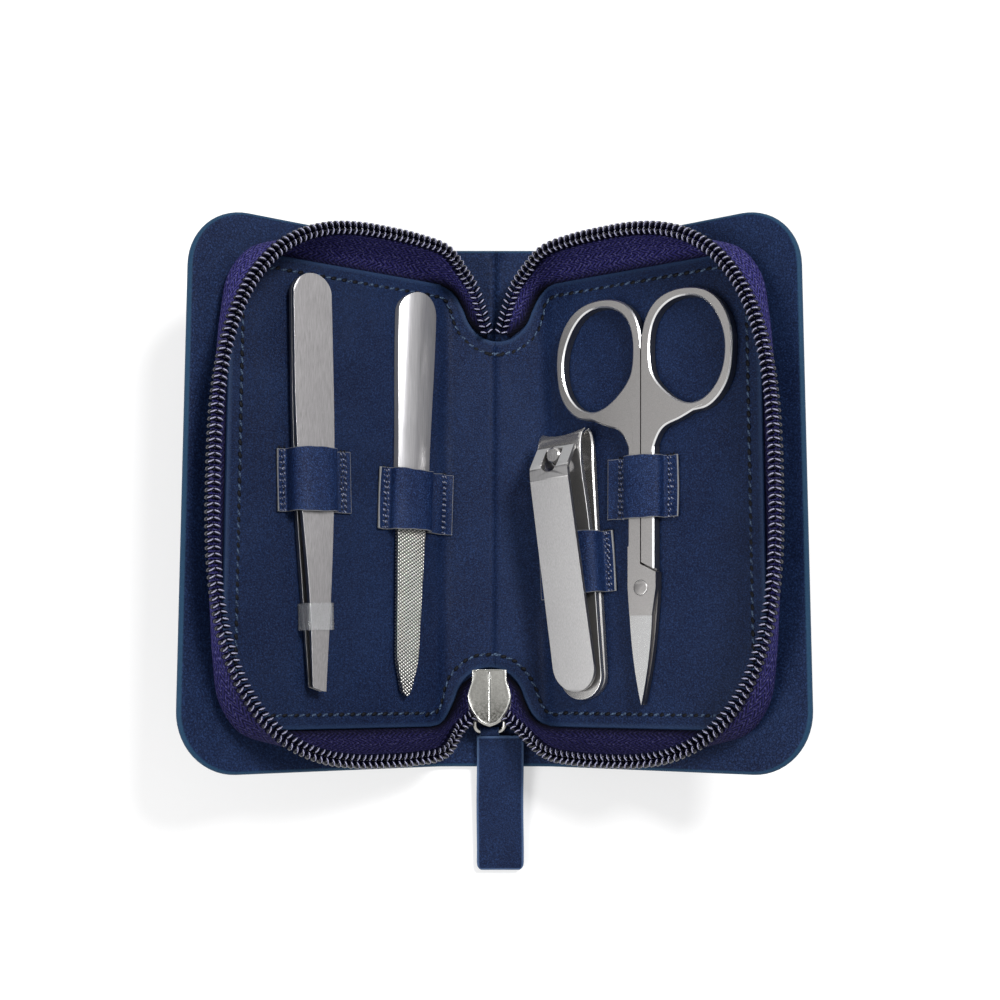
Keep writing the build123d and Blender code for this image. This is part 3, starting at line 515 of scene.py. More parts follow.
weave = Finish("zip tape weave")
tape_place = weave.place(source="UV")
tape_along, tape_across = weave.axes(tape_place)
zigzag = ((tape_across / 2.4).math("FRACT") - 0.5).math("ABSOLUTE") * 2.4
rib = ((tape_along + zigzag * 1.6) / 1.3).math("FRACT")
rib_height = (rib - 0.5).math("ABSOLUTE") * 2
knots = weave.cells(tape_place, 2.6, "F1", 0.5)
weave_height = rib_height * 0.7 + (1 - knots) * 0.6
weave_tone = (rib_height * 0.9 + knots * 0.3).clamp()
weave_tone = weave.mix(weave_tone, srgb(54, 52, 118), srgb(8, 8, 30))
flecks = weave.noise(tape_place, 1.7, 3.0, 0.75)
weave_tone = weave.mix(flecks.step(0.53, 0.66) * 0.7, weave_tone, srgb(108, 106, 158))
# painted shade: the tape turns near black towards the lining's edge, where it passes under it
weave_tone = weave.mix(tape_across.step(0.4, 4.2), srgb(5, 5, 14), weave_tone)
# painted shade: the tape darkens towards the bottom of the case
tape_ahead = weave.axes(weave.place())[1]
weave_tone = weave.mix(tape_ahead.step(-54.0, -26.0) * 0.6 + 0.4, srgb(6, 5, 14), weave_tone)
tape_cloth = weave.surface(
    Base_Color=weave_tone,
    Roughness=0.85,
    Normal=weave.bump(weave_height, 0.12),
    Specular_IOR_Level=0.08,
)

nylon = Finish("chain nylon")
nylon_spots = nylon.noise(nylon.place(), 1.4, 2.0)
nylon_tone = nylon.mix(nylon_spots, srgb(3, 3, 10), srgb(12, 12, 30))
# painted highlight: a pale line along each tooth's crest stands for its glint
nylon_painted_glint = nylon.value_of("crest").step(0.5, 0.95) * 0.9
chain_nylon = nylon.surface(
    Base_Color=nylon.mix(nylon_painted_glint, nylon_tone, srgb(150, 150, 178)),
    Roughness=0.14 + nylon_spots * 0.1,
    Normal=nylon.bump(nylon_spots, 0.03),
    Specular_IOR_Level=0.24,
)


def sewing_thread(name, shade, bright):
    """Twisted thread, with painted shade in the needle's holes."""
    sewing = Finish(name)
    twist = sewing.noise(sewing.place((3, 3, 3)), 1.2, 2.0)
    strand = sewing.mix(twist.step(0.35, 0.65), shade, bright)
    return sewing.surface(
        # painted shade: the needle's holes are near black
        Base_Color=sewing.mix(sewing.value_of("hole"), strand, srgb(3, 5, 12)),
        Roughness=0.6,
        Normal=sewing.bump(twist, 0.08),
        Specular_IOR_Level=0.15,
    )


thread = sewing_thread("sewing thread", srgb(12, 22, 44), srgb(78, 98, 124))
pale_thread = sewing_thread("pale thread", srgb(18, 24, 52), srgb(150, 154, 172))

worn = Finish("worn highlit nickel")
worn_place = worn.place()
worn_pits = worn.noise(worn_place, 2.2, 4.0, 0.8)
worn_low = 1 - worn.axes(worn_place)[1].step(-48.0, -42.5)
worn_tone = worn.mix(
    (worn_pits.step(0.38, 0.62) * (0.25 + 0.75 * worn_low)).clamp(),
    (0.2, 0.198, 0.185),
    (0.045, 0.043, 0.038),
)
# painted highlight: the cap's rim and ridge, marked rim, are a paler nickel; the pits are its wear
worn_highlit_nickel = worn.surface(
    Base_Color=worn.mix(worn.value_of("rim"), worn_tone, (0.5, 0.5, 0.48)),
    Metallic=1.0,
    Roughness=0.3 + worn_pits * 0.12 - worn.value_of("rim") * 0.14,
    Normal=worn.bump(worn_pits, 0.05),
)

pulp = Finish("stiffener board")
pulp_spots = pulp.noise(pulp.place(), 2.0, 4.0, 0.7)
board_grey = pulp.surface(
    Base_Color=pulp.mix(pulp_spots, srgb(120, 112, 98), srgb(164, 154, 136)),
    Roughness=0.9,
    Normal=pulp.bump(pulp_spots, 0.08),
)

plastic = Finish("clear plastic")
haze = plastic.noise(plastic.place(), 0.8, 2.0)
clear_plastic = plastic.surface(
    Base_Color=(0.94, 0.95, 0.96, 1.0),
    Roughness=0.08 + haze * 0.12,
    Transmission_Weight=0.9,
    IOR=1.45,
    Alpha=0.75 + haze * 0.1,
)

cut_steel = Finish("cross-cut steel")
cut_x, cut_y = cut_steel.axes(cut_steel.place())
diamonds = [
    (((cut_x * lean + cut_y) / 0.75).math("FRACT") - 0.5).math("ABSOLUTE") * 2
    for lean in (1.15, -0.75)
]
teeth = diamonds[0] * diamonds[1]
file_teeth = cut_steel.surface(
    Base_Color=cut_steel.mix(teeth.step(0.03, 0.3), (0.03, 0.03, 0.03), (0.55, 0.54, 0.52)),
    Metallic=1.0,
    Roughness=0.32,
    Normal=cut_steel.bump(teeth, 0.16),
)


# ------------------------------------------------------- covers, linings
def rounded_half(reach, half, radius):
    """Half a panel's outline from the middle of the case, lower end first."""
    arc = np.linspace(-pi / 2, 0, 15)
    lower = np.column_stack(
        [reach - radius + radius * np.cos(arc), radius - half + radius * np.sin(arc)]
    )
    lead = np.linspace(0, reach - radius, 26)[:-1]
    edge = np.linspace(radius - half, half - radius, 34)[1:-1]
    upper = lower[::-1] * (1, -1)
    return np.vstack(
        [
            np.column_stack([lead, np.full(len(lead), -half)]),
            lower,
            np.column_stack([np.full(len(edge), reach), edge]),
            upper,
            np.column_stack([lead[::-1], np.full(len(lead), half)]),
        ]
    )


def turned_rim(thick, round_off, flat_inset):
    """A rim profile, from the lower face's edge round to the upper face's."""
    lower = [
        (round_off * (1 - cos(angle)), -thick / 2 - (thick / 2) * sin(angle))
        for angle in np.linspace(0, pi / 2, 5)
    ]
    upper = [(inset, -thick - height) for inset, height in lower[1:]]
    return [(flat_inset, -thick), *lower[::-1], *upper, (flat_inset, 0.0)]


def fold_blend(piece):
    """Bakes a piece's placement into its mesh."""
    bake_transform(piece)


for side, hand in SIDES:
    skin = panel_shell(
        f"cover_skin_{hand}",
        side,
        rounded_half(PANEL_REACH, HALF_HEIGHT, CORNER),
        turned_rim(COVER_TOP, 0.8, 2.0),
        np.zeros_like,
        cover_leather,
    )
    fold_blend(skin)
    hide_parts(f"cover_{hand}", "cover_spine")


def notch_line(side, end):
    """The lining's edge from the middle of its notch out to the straight edge, as reach and y."""
    centre = side * NOTCH_CENTRES[end]
    reach = (-3.5, -1.8, 0.0, 1.8, 3.5, 5.4, 6.8, 7.8, 9.3, 11.4, 14.5)
    along = (37.5, 36.8, 36.6, 36.8, 37.5, 39.1, 41.2, 43.8, 46.7, 48.6, LINING_HALF)
    line = smooth_line(np.column_stack([reach, along]) + (centre, 0), 60)
    line = line[line[:, 0] >= 0]
    start = np.array([[0.0, np.interp(0.0, line[:, 0], line[:, 1])]])
    return np.vstack([start, line[1:] if line[0, 0] < 0.05 else line]) * (1, end)


def lining_outline(side, inset=0.0):
    """The lining's whole edge on one side of the case's middle."""
    lower, upper = notch_line(side, -1), notch_line(side, 1)
    body = rounded_half(LINING_REACH, LINING_HALF, LINING_CORNER)
    clear = body[:, 0] > max(lower[-1, 0], upper[-1, 0]) + 1
    line = np.vstack([lower, body[clear], upper[::-1]])
    return inset_line(line, inset) if inset else line


def lining_base(reach):
    """How far the board under the lining lifts it from the cover."""
    return BOARD * smooth_step(reach, SPINE_HALF - 3, SPINE_HALF + 2.6)


def lining_swell(flat):
    """Soft rises and dips of the lining over the fold."""
    reach, along = flat[..., 0], flat[..., 1]
    over_fold = 0.25 * np.exp(-(((reach - SPINE_HALF) / 7) ** 2))
    over_all = 0.06 * np.sin(along * 0.11) * np.sin(reach * 0.17)
    return over_fold * np.sin(along * 0.21 + reach * 0.12) + over_all


for side, hand in SIDES:
    lining = panel_shell(
        f"lining_skin_{hand}",
        side,
        lining_outline(side),
        [(inset, height + LINING_THICK) for inset, height in turned_rim(LINING_THICK, 0.3, 1.2)],
        lining_base,
        lining_leather,
        lining_swell,
    )
    fold_blend(lining)
    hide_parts(f"lining_{hand}", "lining_spine")


# ------------------------------------------------------- zip tape and chain
def oval(angle, reach_x, reach_y, power):
    """A rounded oval about the zip's middle, as across and along."""
    across = np.abs(np.cos(angle) / (reach_x - ZIP_MIDDLE)) ** power
    along = np.abs(np.sin(angle) / reach_y) ** power
    radius = (across + along) ** (-1 / power)
    return ZIP_MIDDLE + radius * np.cos(angle), radius * np.sin(angle)


OVAL_ANGLES = np.radians(np.arange(-105, 106, 7.5))
CHAIN_LEVEL = 10.5
CHAIN_OVAL = (59.5, 55.6, 2.7)
TAPE_CREST = 9.9
TAPE_STEPS, TAPE_ROWS = 260, 14
TAPE_CLOTH = 0.6


LOWER_CREST = ((1.05, -38.0, 7.8), (1.3, -42.6, 7.8), (3.4, -46.6, 7.9), (6.6, -49.6, 9.4))
UPPER_CREST = ((1.6, 38.2, 4.6), (2.9, 43.0, 5.0), (4.6, 47.6, 6.6), (6.9, 50.6, 9.2))
CREST_CENTRES = (-1.2, -0.3)
NOTCH_RIM = ((2.6, 37.6), (6.4, 41.0), (8.0, 44.8), (10.6, 48.6))


def crest_line(side, drop=0.0):
    """The chain's line from the slider, round one half and down to the upper notch."""
    lower, upper = (
        np.array(crest) * (side, 1, 1) + (centre, 0, -drop)
        for crest, centre in zip((LOWER_CREST, UPPER_CREST), CREST_CENTRES)
    )
    across, along = oval(OVAL_ANGLES, *CHAIN_OVAL)
    return np.vstack([lower, on_half(side, across, along, CHAIN_LEVEL - drop), upper[::-1]])


def rim_line(side, inset, rise):
    """The tape's line where it passes under the lining's edge, squarer than the chain's."""
    lower, upper = (
        np.array(NOTCH_RIM) * (1, end) + (side * NOTCH_CENTRES[end], 0) for end in (-1, 1)
    )
    half_reach = LINING_REACH - SPINE_HALF - inset
    across, along = oval(OVAL_ANGLES, half_reach, LINING_HALF - inset, 8.0)
    reach = np.concatenate([lower[:, 0], across + SPINE_HALF, upper[::-1, 0]])
    along = np.concatenate([lower[:, 1], along, upper[::-1, 1]])
    return on_skin(side, reach, along, rise + lining_base(reach) * 0.6)


def beside(points, crest):
    """A line with as many points as the crest, in steps that stay beside the crest's."""
    fine = smooth_line(np.column_stack([points, crest]), 2000)
    return evenly(fine[:, :3], gone_along(fine[:, 3:]), TAPE_STEPS)


for side, hand in SIDES:
    crest = crest_line(side, CHAIN_LEVEL - TAPE_CREST)
    under = beside(rim_line(side, 1.2, 0.3), crest)
    knee = beside(rim_line(side, -3.4, 0.5), crest)
    crest = beside(crest, crest)
    share = np.linspace(0, 1, TAPE_ROWS)[None, :, None]
    middle = (
        (1 - share) ** 3 * under[:, None]
        + 3 * (1 - share) ** 2 * share * knee[:, None]
        + 3 * (1 - share) * share**2 * (0.55 * knee + 0.45 * crest)[:, None]
        + share**3 * crest[:, None]
    )
    across = np.array([gone_along(row) for row in middle])
    along = np.broadcast_to(gone_along(crest)[:, None], across.shape)
    uvs = np.stack([along, across], axis=-1)
    tape = piece_of(f"zip_cloth_{hand}", tape_cloth, sheet_parts(middle, TAPE_CLOTH, uvs))
    fold_blend(tape)
    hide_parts(f"zip_tape_{hand}", "zip_leads_tape", "zip_tails_tape")


# ------------------------------------------------------- what repeats, by geometry nodes
def repeat_tree(name, sizes, element):
    """A node tree that sets one element at every pitch along lines, lying by their lean."""
    tree = bpy.data.node_groups.new(name, "GeometryNodeTree")
    face = tree.interface
    face.new_socket("Geometry", in_out="INPUT", socket_type="NodeSocketGeometry")
    for label in sizes:
        face.new_socket(label, in_out="INPUT", socket_type="NodeSocketFloat")
    face.new_socket("Finish", in_out="INPUT", socket_type="NodeSocketMaterial")
    face.new_socket("Geometry", in_out="OUTPUT", socket_type="NodeSocketGeometry")

    add = partial(add_node, tree)
    given = partial(Wire, add("NodeGroupInput"))
    line = add("GeometryNodeMeshToCurve", Mesh=given("Geometry"))
    even = add(
        "GeometryNodeResampleCurve", {"mode": "LENGTH"}, Curve=line, Length=given("Pitch")
    )
    ahead = add("GeometryNodeInputTangent")
    lean = add("GeometryNodeInputNamedAttribute", {"data_type": "FLOAT_VECTOR"}, Name="lean")
    forward = add("FunctionNodeAlignRotationToVector", {"axis": "X"}, Vector=ahead)
    upright = add(
        "FunctionNodeAlignRotationToVector",
        {"axis": "Z", "pivot_axis": "X"},
        Rotation=forward,
        Vector=Wire(lean, "Attribute"),
    )
    placed = add(
        "GeometryNodeInstanceOnPoints", Points=even, Instance=element(add, given), Rotation=upright
    )
    real = add("GeometryNodeRealizeInstances", Geometry=placed)
    finished = add("GeometryNodeSetMaterial", Geometry=real, Material=given("Finish"))
    add("NodeGroupOutput", Geometry=finished)
    return tree


def rounded_bar(add, given):
    """A bar of the given length, width and depth, its edges rounded."""
    size = add("ShaderNodeCombineXYZ", X=given("Length"), Y=given("Width"), Z=given("Depth"))
    block = add("GeometryNodeMeshCube", Size=size)
    return add("GeometryNodeSubdivisionSurface", Mesh=block, Level=1)


def marked(add, shape, label, value):
    """The shape with a named value on its points."""
    settings = {"data_type": "FLOAT", "domain": "POINT"}
    sockets = {"Geometry": shape, "Name": label, "Value": value}
    return add("GeometryNodeStoreNamedAttribute", settings, **sockets)


def joined(add, first, second):
    """Both shapes as one, shaded smooth."""
    both = add("GeometryNodeJoinGeometry", Geometry=first)
    feed(both.inputs[0], second)
    return add("GeometryNodeSetShadeSmooth", Geometry=both)


def zip_tooth(add, given):
    """One turn of the coil: two rounded bars that meet in a chevron across the chain."""
    place = add("ShaderNodeSeparateXYZ", Vector=add("GeometryNodeInputPosition"))
    # the top middle line of each bar is marked crest, where the chain's material paints a glint
    middle = Wire(place, "X").math("ABSOLUTE").math("LESS_THAN", 0.05 * MM)
    top = Wire(place, "Z").math("GREATER_THAN", 0.05 * MM)
    crested = marked(add, rounded_bar(add, given), "crest", middle * top)
    bars = [
        add(
            "GeometryNodeTransform",
            Geometry=crested,
            Translation=add("ShaderNodeCombineXYZ", Y=given("Width") * (0.37 * way)),
            Rotation=(0.0, 0.0, radians(24) * way),
        )
        for way in (1, -1)
    ]
    return joined(add, *bars)


def sewn_dash(add, given):
    """One stitch: a short slanting bar of thread and the needle's hole at its end, marked for
    painted shade.
    """
    lean = add("ShaderNodeCombineXYZ", Z=given("Slant"))
    bar = add("GeometryNodeTransform", Geometry=rounded_bar(add, given), Rotation=lean)
    dent = add(
        "GeometryNodeTransform",
        Geometry=add("GeometryNodeMeshUVSphere", Segments=8, Rings=4, Radius=given("Hole")),
        Translation=add("ShaderNodeCombineXYZ", X=given("Pitch") * 0.5),
        Rotation=lean,
        Scale=(1.0, 0.6, 0.22),
    )
    return joined(add, marked(add, dent, "hole", 1.0), bar)


tooth_tree = repeat_tree("zip teeth", ("Pitch", "Length", "Width", "Depth"), zip_tooth)
stitch_tree = repeat_tree(
    "stitches", ("Pitch", "Length", "Width", "Depth", "Hole", "Slant"), sewn_dash
)


def repeated(name, lines, tree, sizes, material):
    """A plain mesh of the tree's elements along lines, each with its upward directions."""
    points, edges, leans = [], [], []
    for line, lean in lines:
        first = len(points)
        points += [tuple(point) for point in np.asarray(line) * MM]
        leans += [tuple(direction) for direction in lean]
        edges += [(first + step, first + step + 1) for step in range(len(line) - 1)]
    mesh = bpy.data.meshes.new(name + " line")
    mesh.from_pydata(points, edges, [])
    layer = mesh.attributes.new("lean", "FLOAT_VECTOR", "POINT")
    layer.data.foreach_set("vector", np.asarray(leans, np.float32).ravel())
    carrier = bpy.data.objects.new(name + " line", mesh)
    scene.collection.objects.link(carrier)
    modifier = carrier.modifiers.new("along", "NODES")
    modifier.node_group = tree
    inputs = {
        item.name: item.identifier
        for item in tree.interface.items_tree
        if item.in_out == "INPUT"
    }
    for label, size in sizes.items():
        modifier[inputs[label]] = radians(size) if label == "Slant" else size * MM
    modifier[inputs["Finish"]] = material
    depsgraph = bpy.context.evaluated_depsgraph_get()
    result = bpy.data.meshes.new_from_object(carrier.evaluated_get(depsgraph))
    result.name = name
    bpy.data.objects.remove(carrier)
    piece = bpy.data.objects.new(name, result)
    scene.collection.objects.link(piece)
    return piece


def leans_from(line, side):
    """Directions that stand across each line and away from the case's floor."""
    ahead = unit(np.gradient(line, axis=0))
    up = np.tile([-side * sin(OPEN), 0, cos(OPEN)], (len(line), 1))
    up[np.abs(line[:, 0]) < SPINE_HALF - 4] = (0, 0, 1)
    return unit(up - ahead * np.sum(up * ahead, axis=1, keepdims=True))


for side, hand in SIDES:
    line = smooth_line(crest_line(side), pitch=0.8)
    chain = repeated(
        f"zip_teeth_{hand}",
        [(line, leans_from(line, side))],
        tooth_tree,
        {"Pitch": 1.4, "Length": 1.3, "Width": 2.05, "Depth": 3.0},
        chain_nylon,
    )
    fold_blend(chain)
    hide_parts(f"zip_chain_{hand}", "zip_leads", "zip_tails")

    seam = lining_outline(side, STITCH_INSET)
    seam = on_skin(side, seam[:, 0], seam[:, 1], lining_base(seam[:, 0]) + LINING_THICK)
    seam = smooth_line(seam[1:-1], pitch=0.9)
    sewing_line = repeated(
        f"lining_stitches_{hand}",
        [(seam, leans_from(seam, side))],
        stitch_tree,
        {"Pitch": 2.6, "Length": 1.9, "Width": 0.6, "Depth": 0.34, "Hole": 0.72, "Slant": 18},
        thread,
    )
    fold_blend(sewing_line)


# ------------------------------------------------------- leather loops
LOOP_LENGTH = 13.2
LOOP_LEATHER = 0.55
RAW_EDGE = 0.14
SEAM_STEPS = 17
# tool: side, seat (across, along, lean), place along it, tunnel, strips left and right, seams
LOOPS = {
    "tweezers": (-1, (34.6, 2.0, 2.06), 0.0, (9.2, 4.9), (2.3, 5.0), (1.2, 3.3)),
    "file": (-1, (10.05, 1.55, -1.56), -1.98, (8.7, 3.0), (3.0, 8.0), (1.2, 5.0)),
    "clipper": (1, (9.7, -14.35, 3.5), 0.0, (11.6, 5.1), (5.6, 2.6), (2.2, 1.1)),
    "scissors": (1, (26.2, -0.8, -0.76), 2.07, (7.8, 3.0), (5.0, 3.6), (1.7, 1.9)),
}
uneven = np.random.default_rng(7)


def on_seat(side, seat, across, along, above):
    """World points drawn on a tool's own plane, their height measured from the lining."""
    place, start, lean = seat
    turn = radians(lean)
    right = side * place + across * cos(turn) - along * sin(turn)
    up = start + across * sin(turn) + along * cos(turn)
    reach = SPINE_HALF + side * right
    flat = np.stack([reach, up], axis=-1)
    near = 1 - smooth_step(above, 0.5, 2.5)
    base = LINING_THICK + lining_base(reach) + lining_swell(flat) * near
    return on_skin(side, reach, up, base + above)


def loop_profile(tunnel, strips):
    """The middle line of a loop's leather from its left strip over the tool to its right one."""
    half = tunnel[0] / 2 + 0.06 + LOOP_LEATHER / 2
    crown = tunnel[1] + 0.26 + LOOP_LEATHER / 2
    foot = max(1.5, 0.45 * crown)
    angles = np.linspace(pi, 0, 19)
    arch = [
        (
            half * np.sign(cos(angle)) * abs(cos(angle)) ** 0.78,
            foot + (crown - foot) * sin(angle) ** 0.7,
        )
        for angle in angles
    ]
    rise = [(-half - aside, height) for aside, height in ((0.95, 0.42), (0.3, 0.58), (0.0, 1.15))]
    fall = [(-x, y) for x, y in reversed(rise)]
    left = [(-half - strips[0], 0.5), (-half - strips[0] * 0.5, 0.42)]
    right = [(half + strips[1] * 0.5, 0.42), (half + strips[1], 0.46)]
    line = smooth_line(left + rise + arch + fall + right, pitch=0.28)
    ends = [line[0] + (RAW_EDGE, 0), line[-1] - (RAW_EDGE, 0)]
    return np.vstack([line[:1], ends[:1], line[1:-1], ends[1:], line[-1:]]), half


for tool, (side, seat, start, tunnel, strips, seams) in LOOPS.items():
    profile, half = loop_profile(tunnel, strips)
    raw = 1 - 2 * RAW_EDGE / LOOP_LENGTH
    share = np.concatenate([[-1, -raw], np.linspace(-1, 1, 17)[1:-1], [raw, 1]])
    across = np.broadcast_to(profile[:, 0], (len(share), len(profile)))
    above = np.broadcast_to(profile[:, 1], across.shape)
    ragged = 0.12 * np.sin(across * 0.45 + len(tool)) + 0.04 * np.sin(across * 1.7)
    along = share[:, None] * (LOOP_LENGTH / 2 + ragged * np.abs(share[:, None]))
    outer = np.clip((np.abs(across) - half - 1.0) / 2.0, 0, 1)
    far = across * side > 0
    curl = outer**2 * far * (0.15 + 0.35 * share[:, None] ** 2)
    puff = 0.14 * smooth_step(above, 1.5, tunnel[1]) * share[:, None] ** 2
    middle = on_seat(side, seat, across, start + along, above + curl + puff)
    edge = np.zeros(across.shape)
    edge[[0, -1]] = 1
    edge[:, [0, -1]] = 1
    leather_loop = piece_of(
        f"leather_loop_{tool}",
        loop_leather,
        sheet_parts(middle, LOOP_LEATHER, values={"rim": edge}),
    )
    hand = "left" if side < 0 else "right"
    fold_blend(leather_loop)
    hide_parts(f"loop_{tool}")

    lines = []
    for turn, seam in zip((-1, 1), seams):
        for row in (-0.55, 0.0, 0.5):
            steps = np.linspace(-0.95, 0.93, SEAM_STEPS) * LOOP_LENGTH / 2
            steps = steps + uneven.uniform(-0.25, 0.1, SEAM_STEPS)
            place = turn * (half + seam) + row + uneven.uniform(-0.2, 0.2, SEAM_STEPS)
            line = on_seat(side, seat, place, start + steps, np.full(SEAM_STEPS, 0.66))
            lines.append((line, leans_from(line, side)))
    loop_sewing = repeated(
        f"loop_stitches_{tool}",
        lines,
        stitch_tree,
        {"Pitch": 1.25, "Length": 0.8, "Width": 0.34, "Depth": 0.5, "Hole": 0.36, "Slant": 38},
        pale_thread,
    )
    fold_blend(loop_sewing)


# ------------------------------------------------------- slider's cap
SLIDER_MIDDLE = -1.2
SLIDER_TOP = 10.3


def shield_line(out):
    """The slider's outline from above, this far outside its plate, from its nose and back."""
    nose = [(0.0, -48.6), (1.6, -48.0), (3.2, -46.2), (4.3, -44.1), (4.65, -42.6)]
    flank = [(4.65, -42.6), (4.3, -41.2), (3.75, -39.7), (3.65, -38.4), (3.7, -37.1)]
    tail = [(2.4, -37.0), (0.0, -36.98)]
    half_line = np.vstack([smooth_line(nose, 16), smooth_line(flank, 14)[1:], tail])
    line = np.vstack([half_line, half_line[::-1][1:-1] * (-1, 1)])
    return line - turned_left(np.roll(line, -1, axis=0) - np.roll(line, 1, axis=0)) * out


def slider_dome(x, y):
    """The cap's height over the slider's plate."""
    along = np.clip((y + 42.6) / 6.0, -1, 1)
    return 0.34 * (1 - (x / 4.8) ** 2) * (1 - 0.8 * along**2) + 0.12


shield = shield_line(0.06)
spine_points = np.column_stack([np.zeros(len(shield)), np.clip(shield[:, 1], -46.6, -38.2)])
# share of the outline, height or the dome's own, and whether it gets the painted highlight
levels = [(1.0, -1.0, 1), (1.0, 0.1, 1), (0.985, 0.3, 1), (0.93, 0.3, 1), (0.9, None, 0)]
levels += [(share, None, 0) for share in (0.75, 0.6, 0.45, 0.3, 0.15, 0.0)]
cap_points, cap_highlight = [], []
for share, height, bright in levels:
    ring = spine_points + (shield - spine_points) * share
    tall = slider_dome(ring[:, 0], ring[:, 1]) if height is None else np.full(len(ring), height)
    cap_points.append(np.column_stack([ring, tall]) + (SLIDER_MIDDLE, 0, SLIDER_TOP))
    cap_highlight.append(np.full(len(ring), float(bright)))
cap_faces = grid_faces(len(levels), len(shield), closed=True)
cap_faces.append(tuple(range(len(shield))))
ridge_x, ridge_y = np.meshgrid((-0.3, -0.16, 0.0, 0.16, 0.3), np.linspace(-48.1, -37.4, 24))
ridge_z = slider_dome(0.0, ridge_y) + (-0.12, 0.03, 0.1, 0.03, -0.12)
ridge = np.stack([ridge_x, ridge_y, ridge_z], axis=-1) + (SLIDER_MIDDLE, 0, SLIDER_TOP)
# the thin ridge along the cap is all painted highlight
ridge = sheet_parts(ridge, 0.1, values={"rim": np.ones(ridge_x.shape)})
cap = piece_of(
    "slider_cap",
    worn_highlit_nickel,
    (np.vstack(cap_points), cap_faces, None, {"rim": np.concatenate(cap_highlight)}),
    ridge,
)
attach(cap, "spine")


# ------------------------------------------------------- leather puller
STRAP_START = np.array([SLIDER_MIDDLE, -50.35, 3.5])
STRAP_FALL = radians(4.9)
STRAP_REACH = 29.8
STRAP_HALF = 5.1
STRAP_MIDDLE = 2.3
STRAP_THICK = 1.5


def on_strap(across, ahead, above):
    """World points drawn along the puller's strap, from its eye to its tip."""
    across, ahead, above = np.broadcast_arrays(across, ahead, above)
    sag = 0.55 * np.sin(np.clip(ahead / STRAP_REACH, 0, 1) * pi) ** 1.4
    y = -ahead * cos(STRAP_FALL) - above * sin(STRAP_FALL)
    z = -ahead * sin(STRAP_FALL) + above * cos(STRAP_FALL) - sag
    return np.stack([across, y, z], axis=-1) + STRAP_START


side_steps = np.array([-5.1, -5.04, -4.85, -4.5, -3, -1.5, 0, 1.5, 3, 4.5, 4.85, 5.04, 5.1])
end_steps = np.concatenate(
    [[0.8, 0.86, 1.05, 1.45], np.linspace(3, 28.2, 22), [28.9, 29.3, 29.55, 29.74, 29.8]]
)
# the tip's corners are rounded over this length
TIP = 1.5
to_tip = np.minimum(STRAP_REACH - end_steps, TIP)[:, None]
narrowed = 1.2 * (1 - np.sqrt(np.clip(1 - (1 - to_tip / TIP) ** 2, 0, 1)))
side_share = side_steps / STRAP_HALF
strap_x = side_share * (STRAP_HALF - narrowed * np.abs(side_share) ** 6)
strap_x = strap_x + STRAP_MIDDLE + 0.05 * np.sin(end_steps * 0.3)[:, None]
to_ends = np.minimum(end_steps - end_steps[0], STRAP_REACH - end_steps)
border = np.minimum(STRAP_HALF - np.abs(side_steps), to_ends[:, None])
strap_thick = STRAP_THICK * (0.62 + 0.38 * np.sqrt(np.clip(border / 0.4, 0, 1)))
strap_body = sheet_parts(
    on_strap(strap_x, end_steps[:, None], 0.05),
    strap_thick,
    values={"rim": (border < 0.3) * 1.0},
)
eye_angles = np.radians(np.arange(-150, 151, 15))
eye_arc = 0.92 * np.column_stack([-np.cos(eye_angles), np.sin(eye_angles)])
eye_line = np.vstack([(2.6, -0.5), eye_arc, (2.6, 0.5)])
eye_x = np.array([-2.0, -1.9, -1.0, 0.0, 1.0, 1.9, 2.0])
strap_eye = sheet_parts(
    on_strap(eye_x[None, :], eye_line[:, :1], eye_line[:, 1:]),
    0.4,
    values={"rim": np.tile((np.abs(eye_x) > 1.95) * 1.0, (len(eye_line), 1))},
)
puller = piece_of("leather_puller", strap_leather, strap_body, strap_eye)
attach(puller, "pull_strap")
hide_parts("pull_strap")


# ------------------------------------------------------- tools keep their CAD shape
RIGHT_UP = Vector((-sin(OPEN), 0, cos(OPEN)))
# a blade's face is ground where it leans more than this from level
LEVEL = cos(radians(0.3))


def scissors_finish(normal):
    """Painted highlight where the flanks slope, ground on the blade's slight slope."""
    level = abs(normal.dot(RIGHT_UP))
    return 1 if 0.2 < level < 0.95 else 2 if 0.95 < level < LEVEL else 0


def lever_finish(normal):
    """A lighter steel on the short slope at the lever's pin end: painted highlight."""
    return 2 if 0.5 < normal.dot(RIGHT_UP) < 0.97 and normal.y > 0.1 else 0


def dress(*names, material, bevel=0.0, edge=None, third=None, finish=None):
    """Gives CAD nodes soft edges and their material, its edge's (a painted highlight on the
    bevels), or a third by a face's normal.
    """
    for name in names:
        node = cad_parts[name]
        node.data.materials.clear()
        for steel in (material, edge, third):
            if steel:
                node.data.materials.append(steel)
        if finish:
            for face in node.data.polygons:
                face.material_index = finish(face.normal)
        if bevel:
            weld = node.modifiers.new("weld", "WELD")
            weld.merge_threshold = 0.005 * MM
            soft = node.modifiers.new("soft edges", "BEVEL")
            soft.width = bevel * MM
            soft.segments = 2
            soft.limit_method = "ANGLE"
            soft.angle_limit = radians(40)
            soft.use_clamp_overlap = True
            if edge:
                soft.material = 1
            level = node.modifiers.new("flat faces", "WEIGHTED_NORMAL")
            level.keep_sharp = False
            level.weight = 80


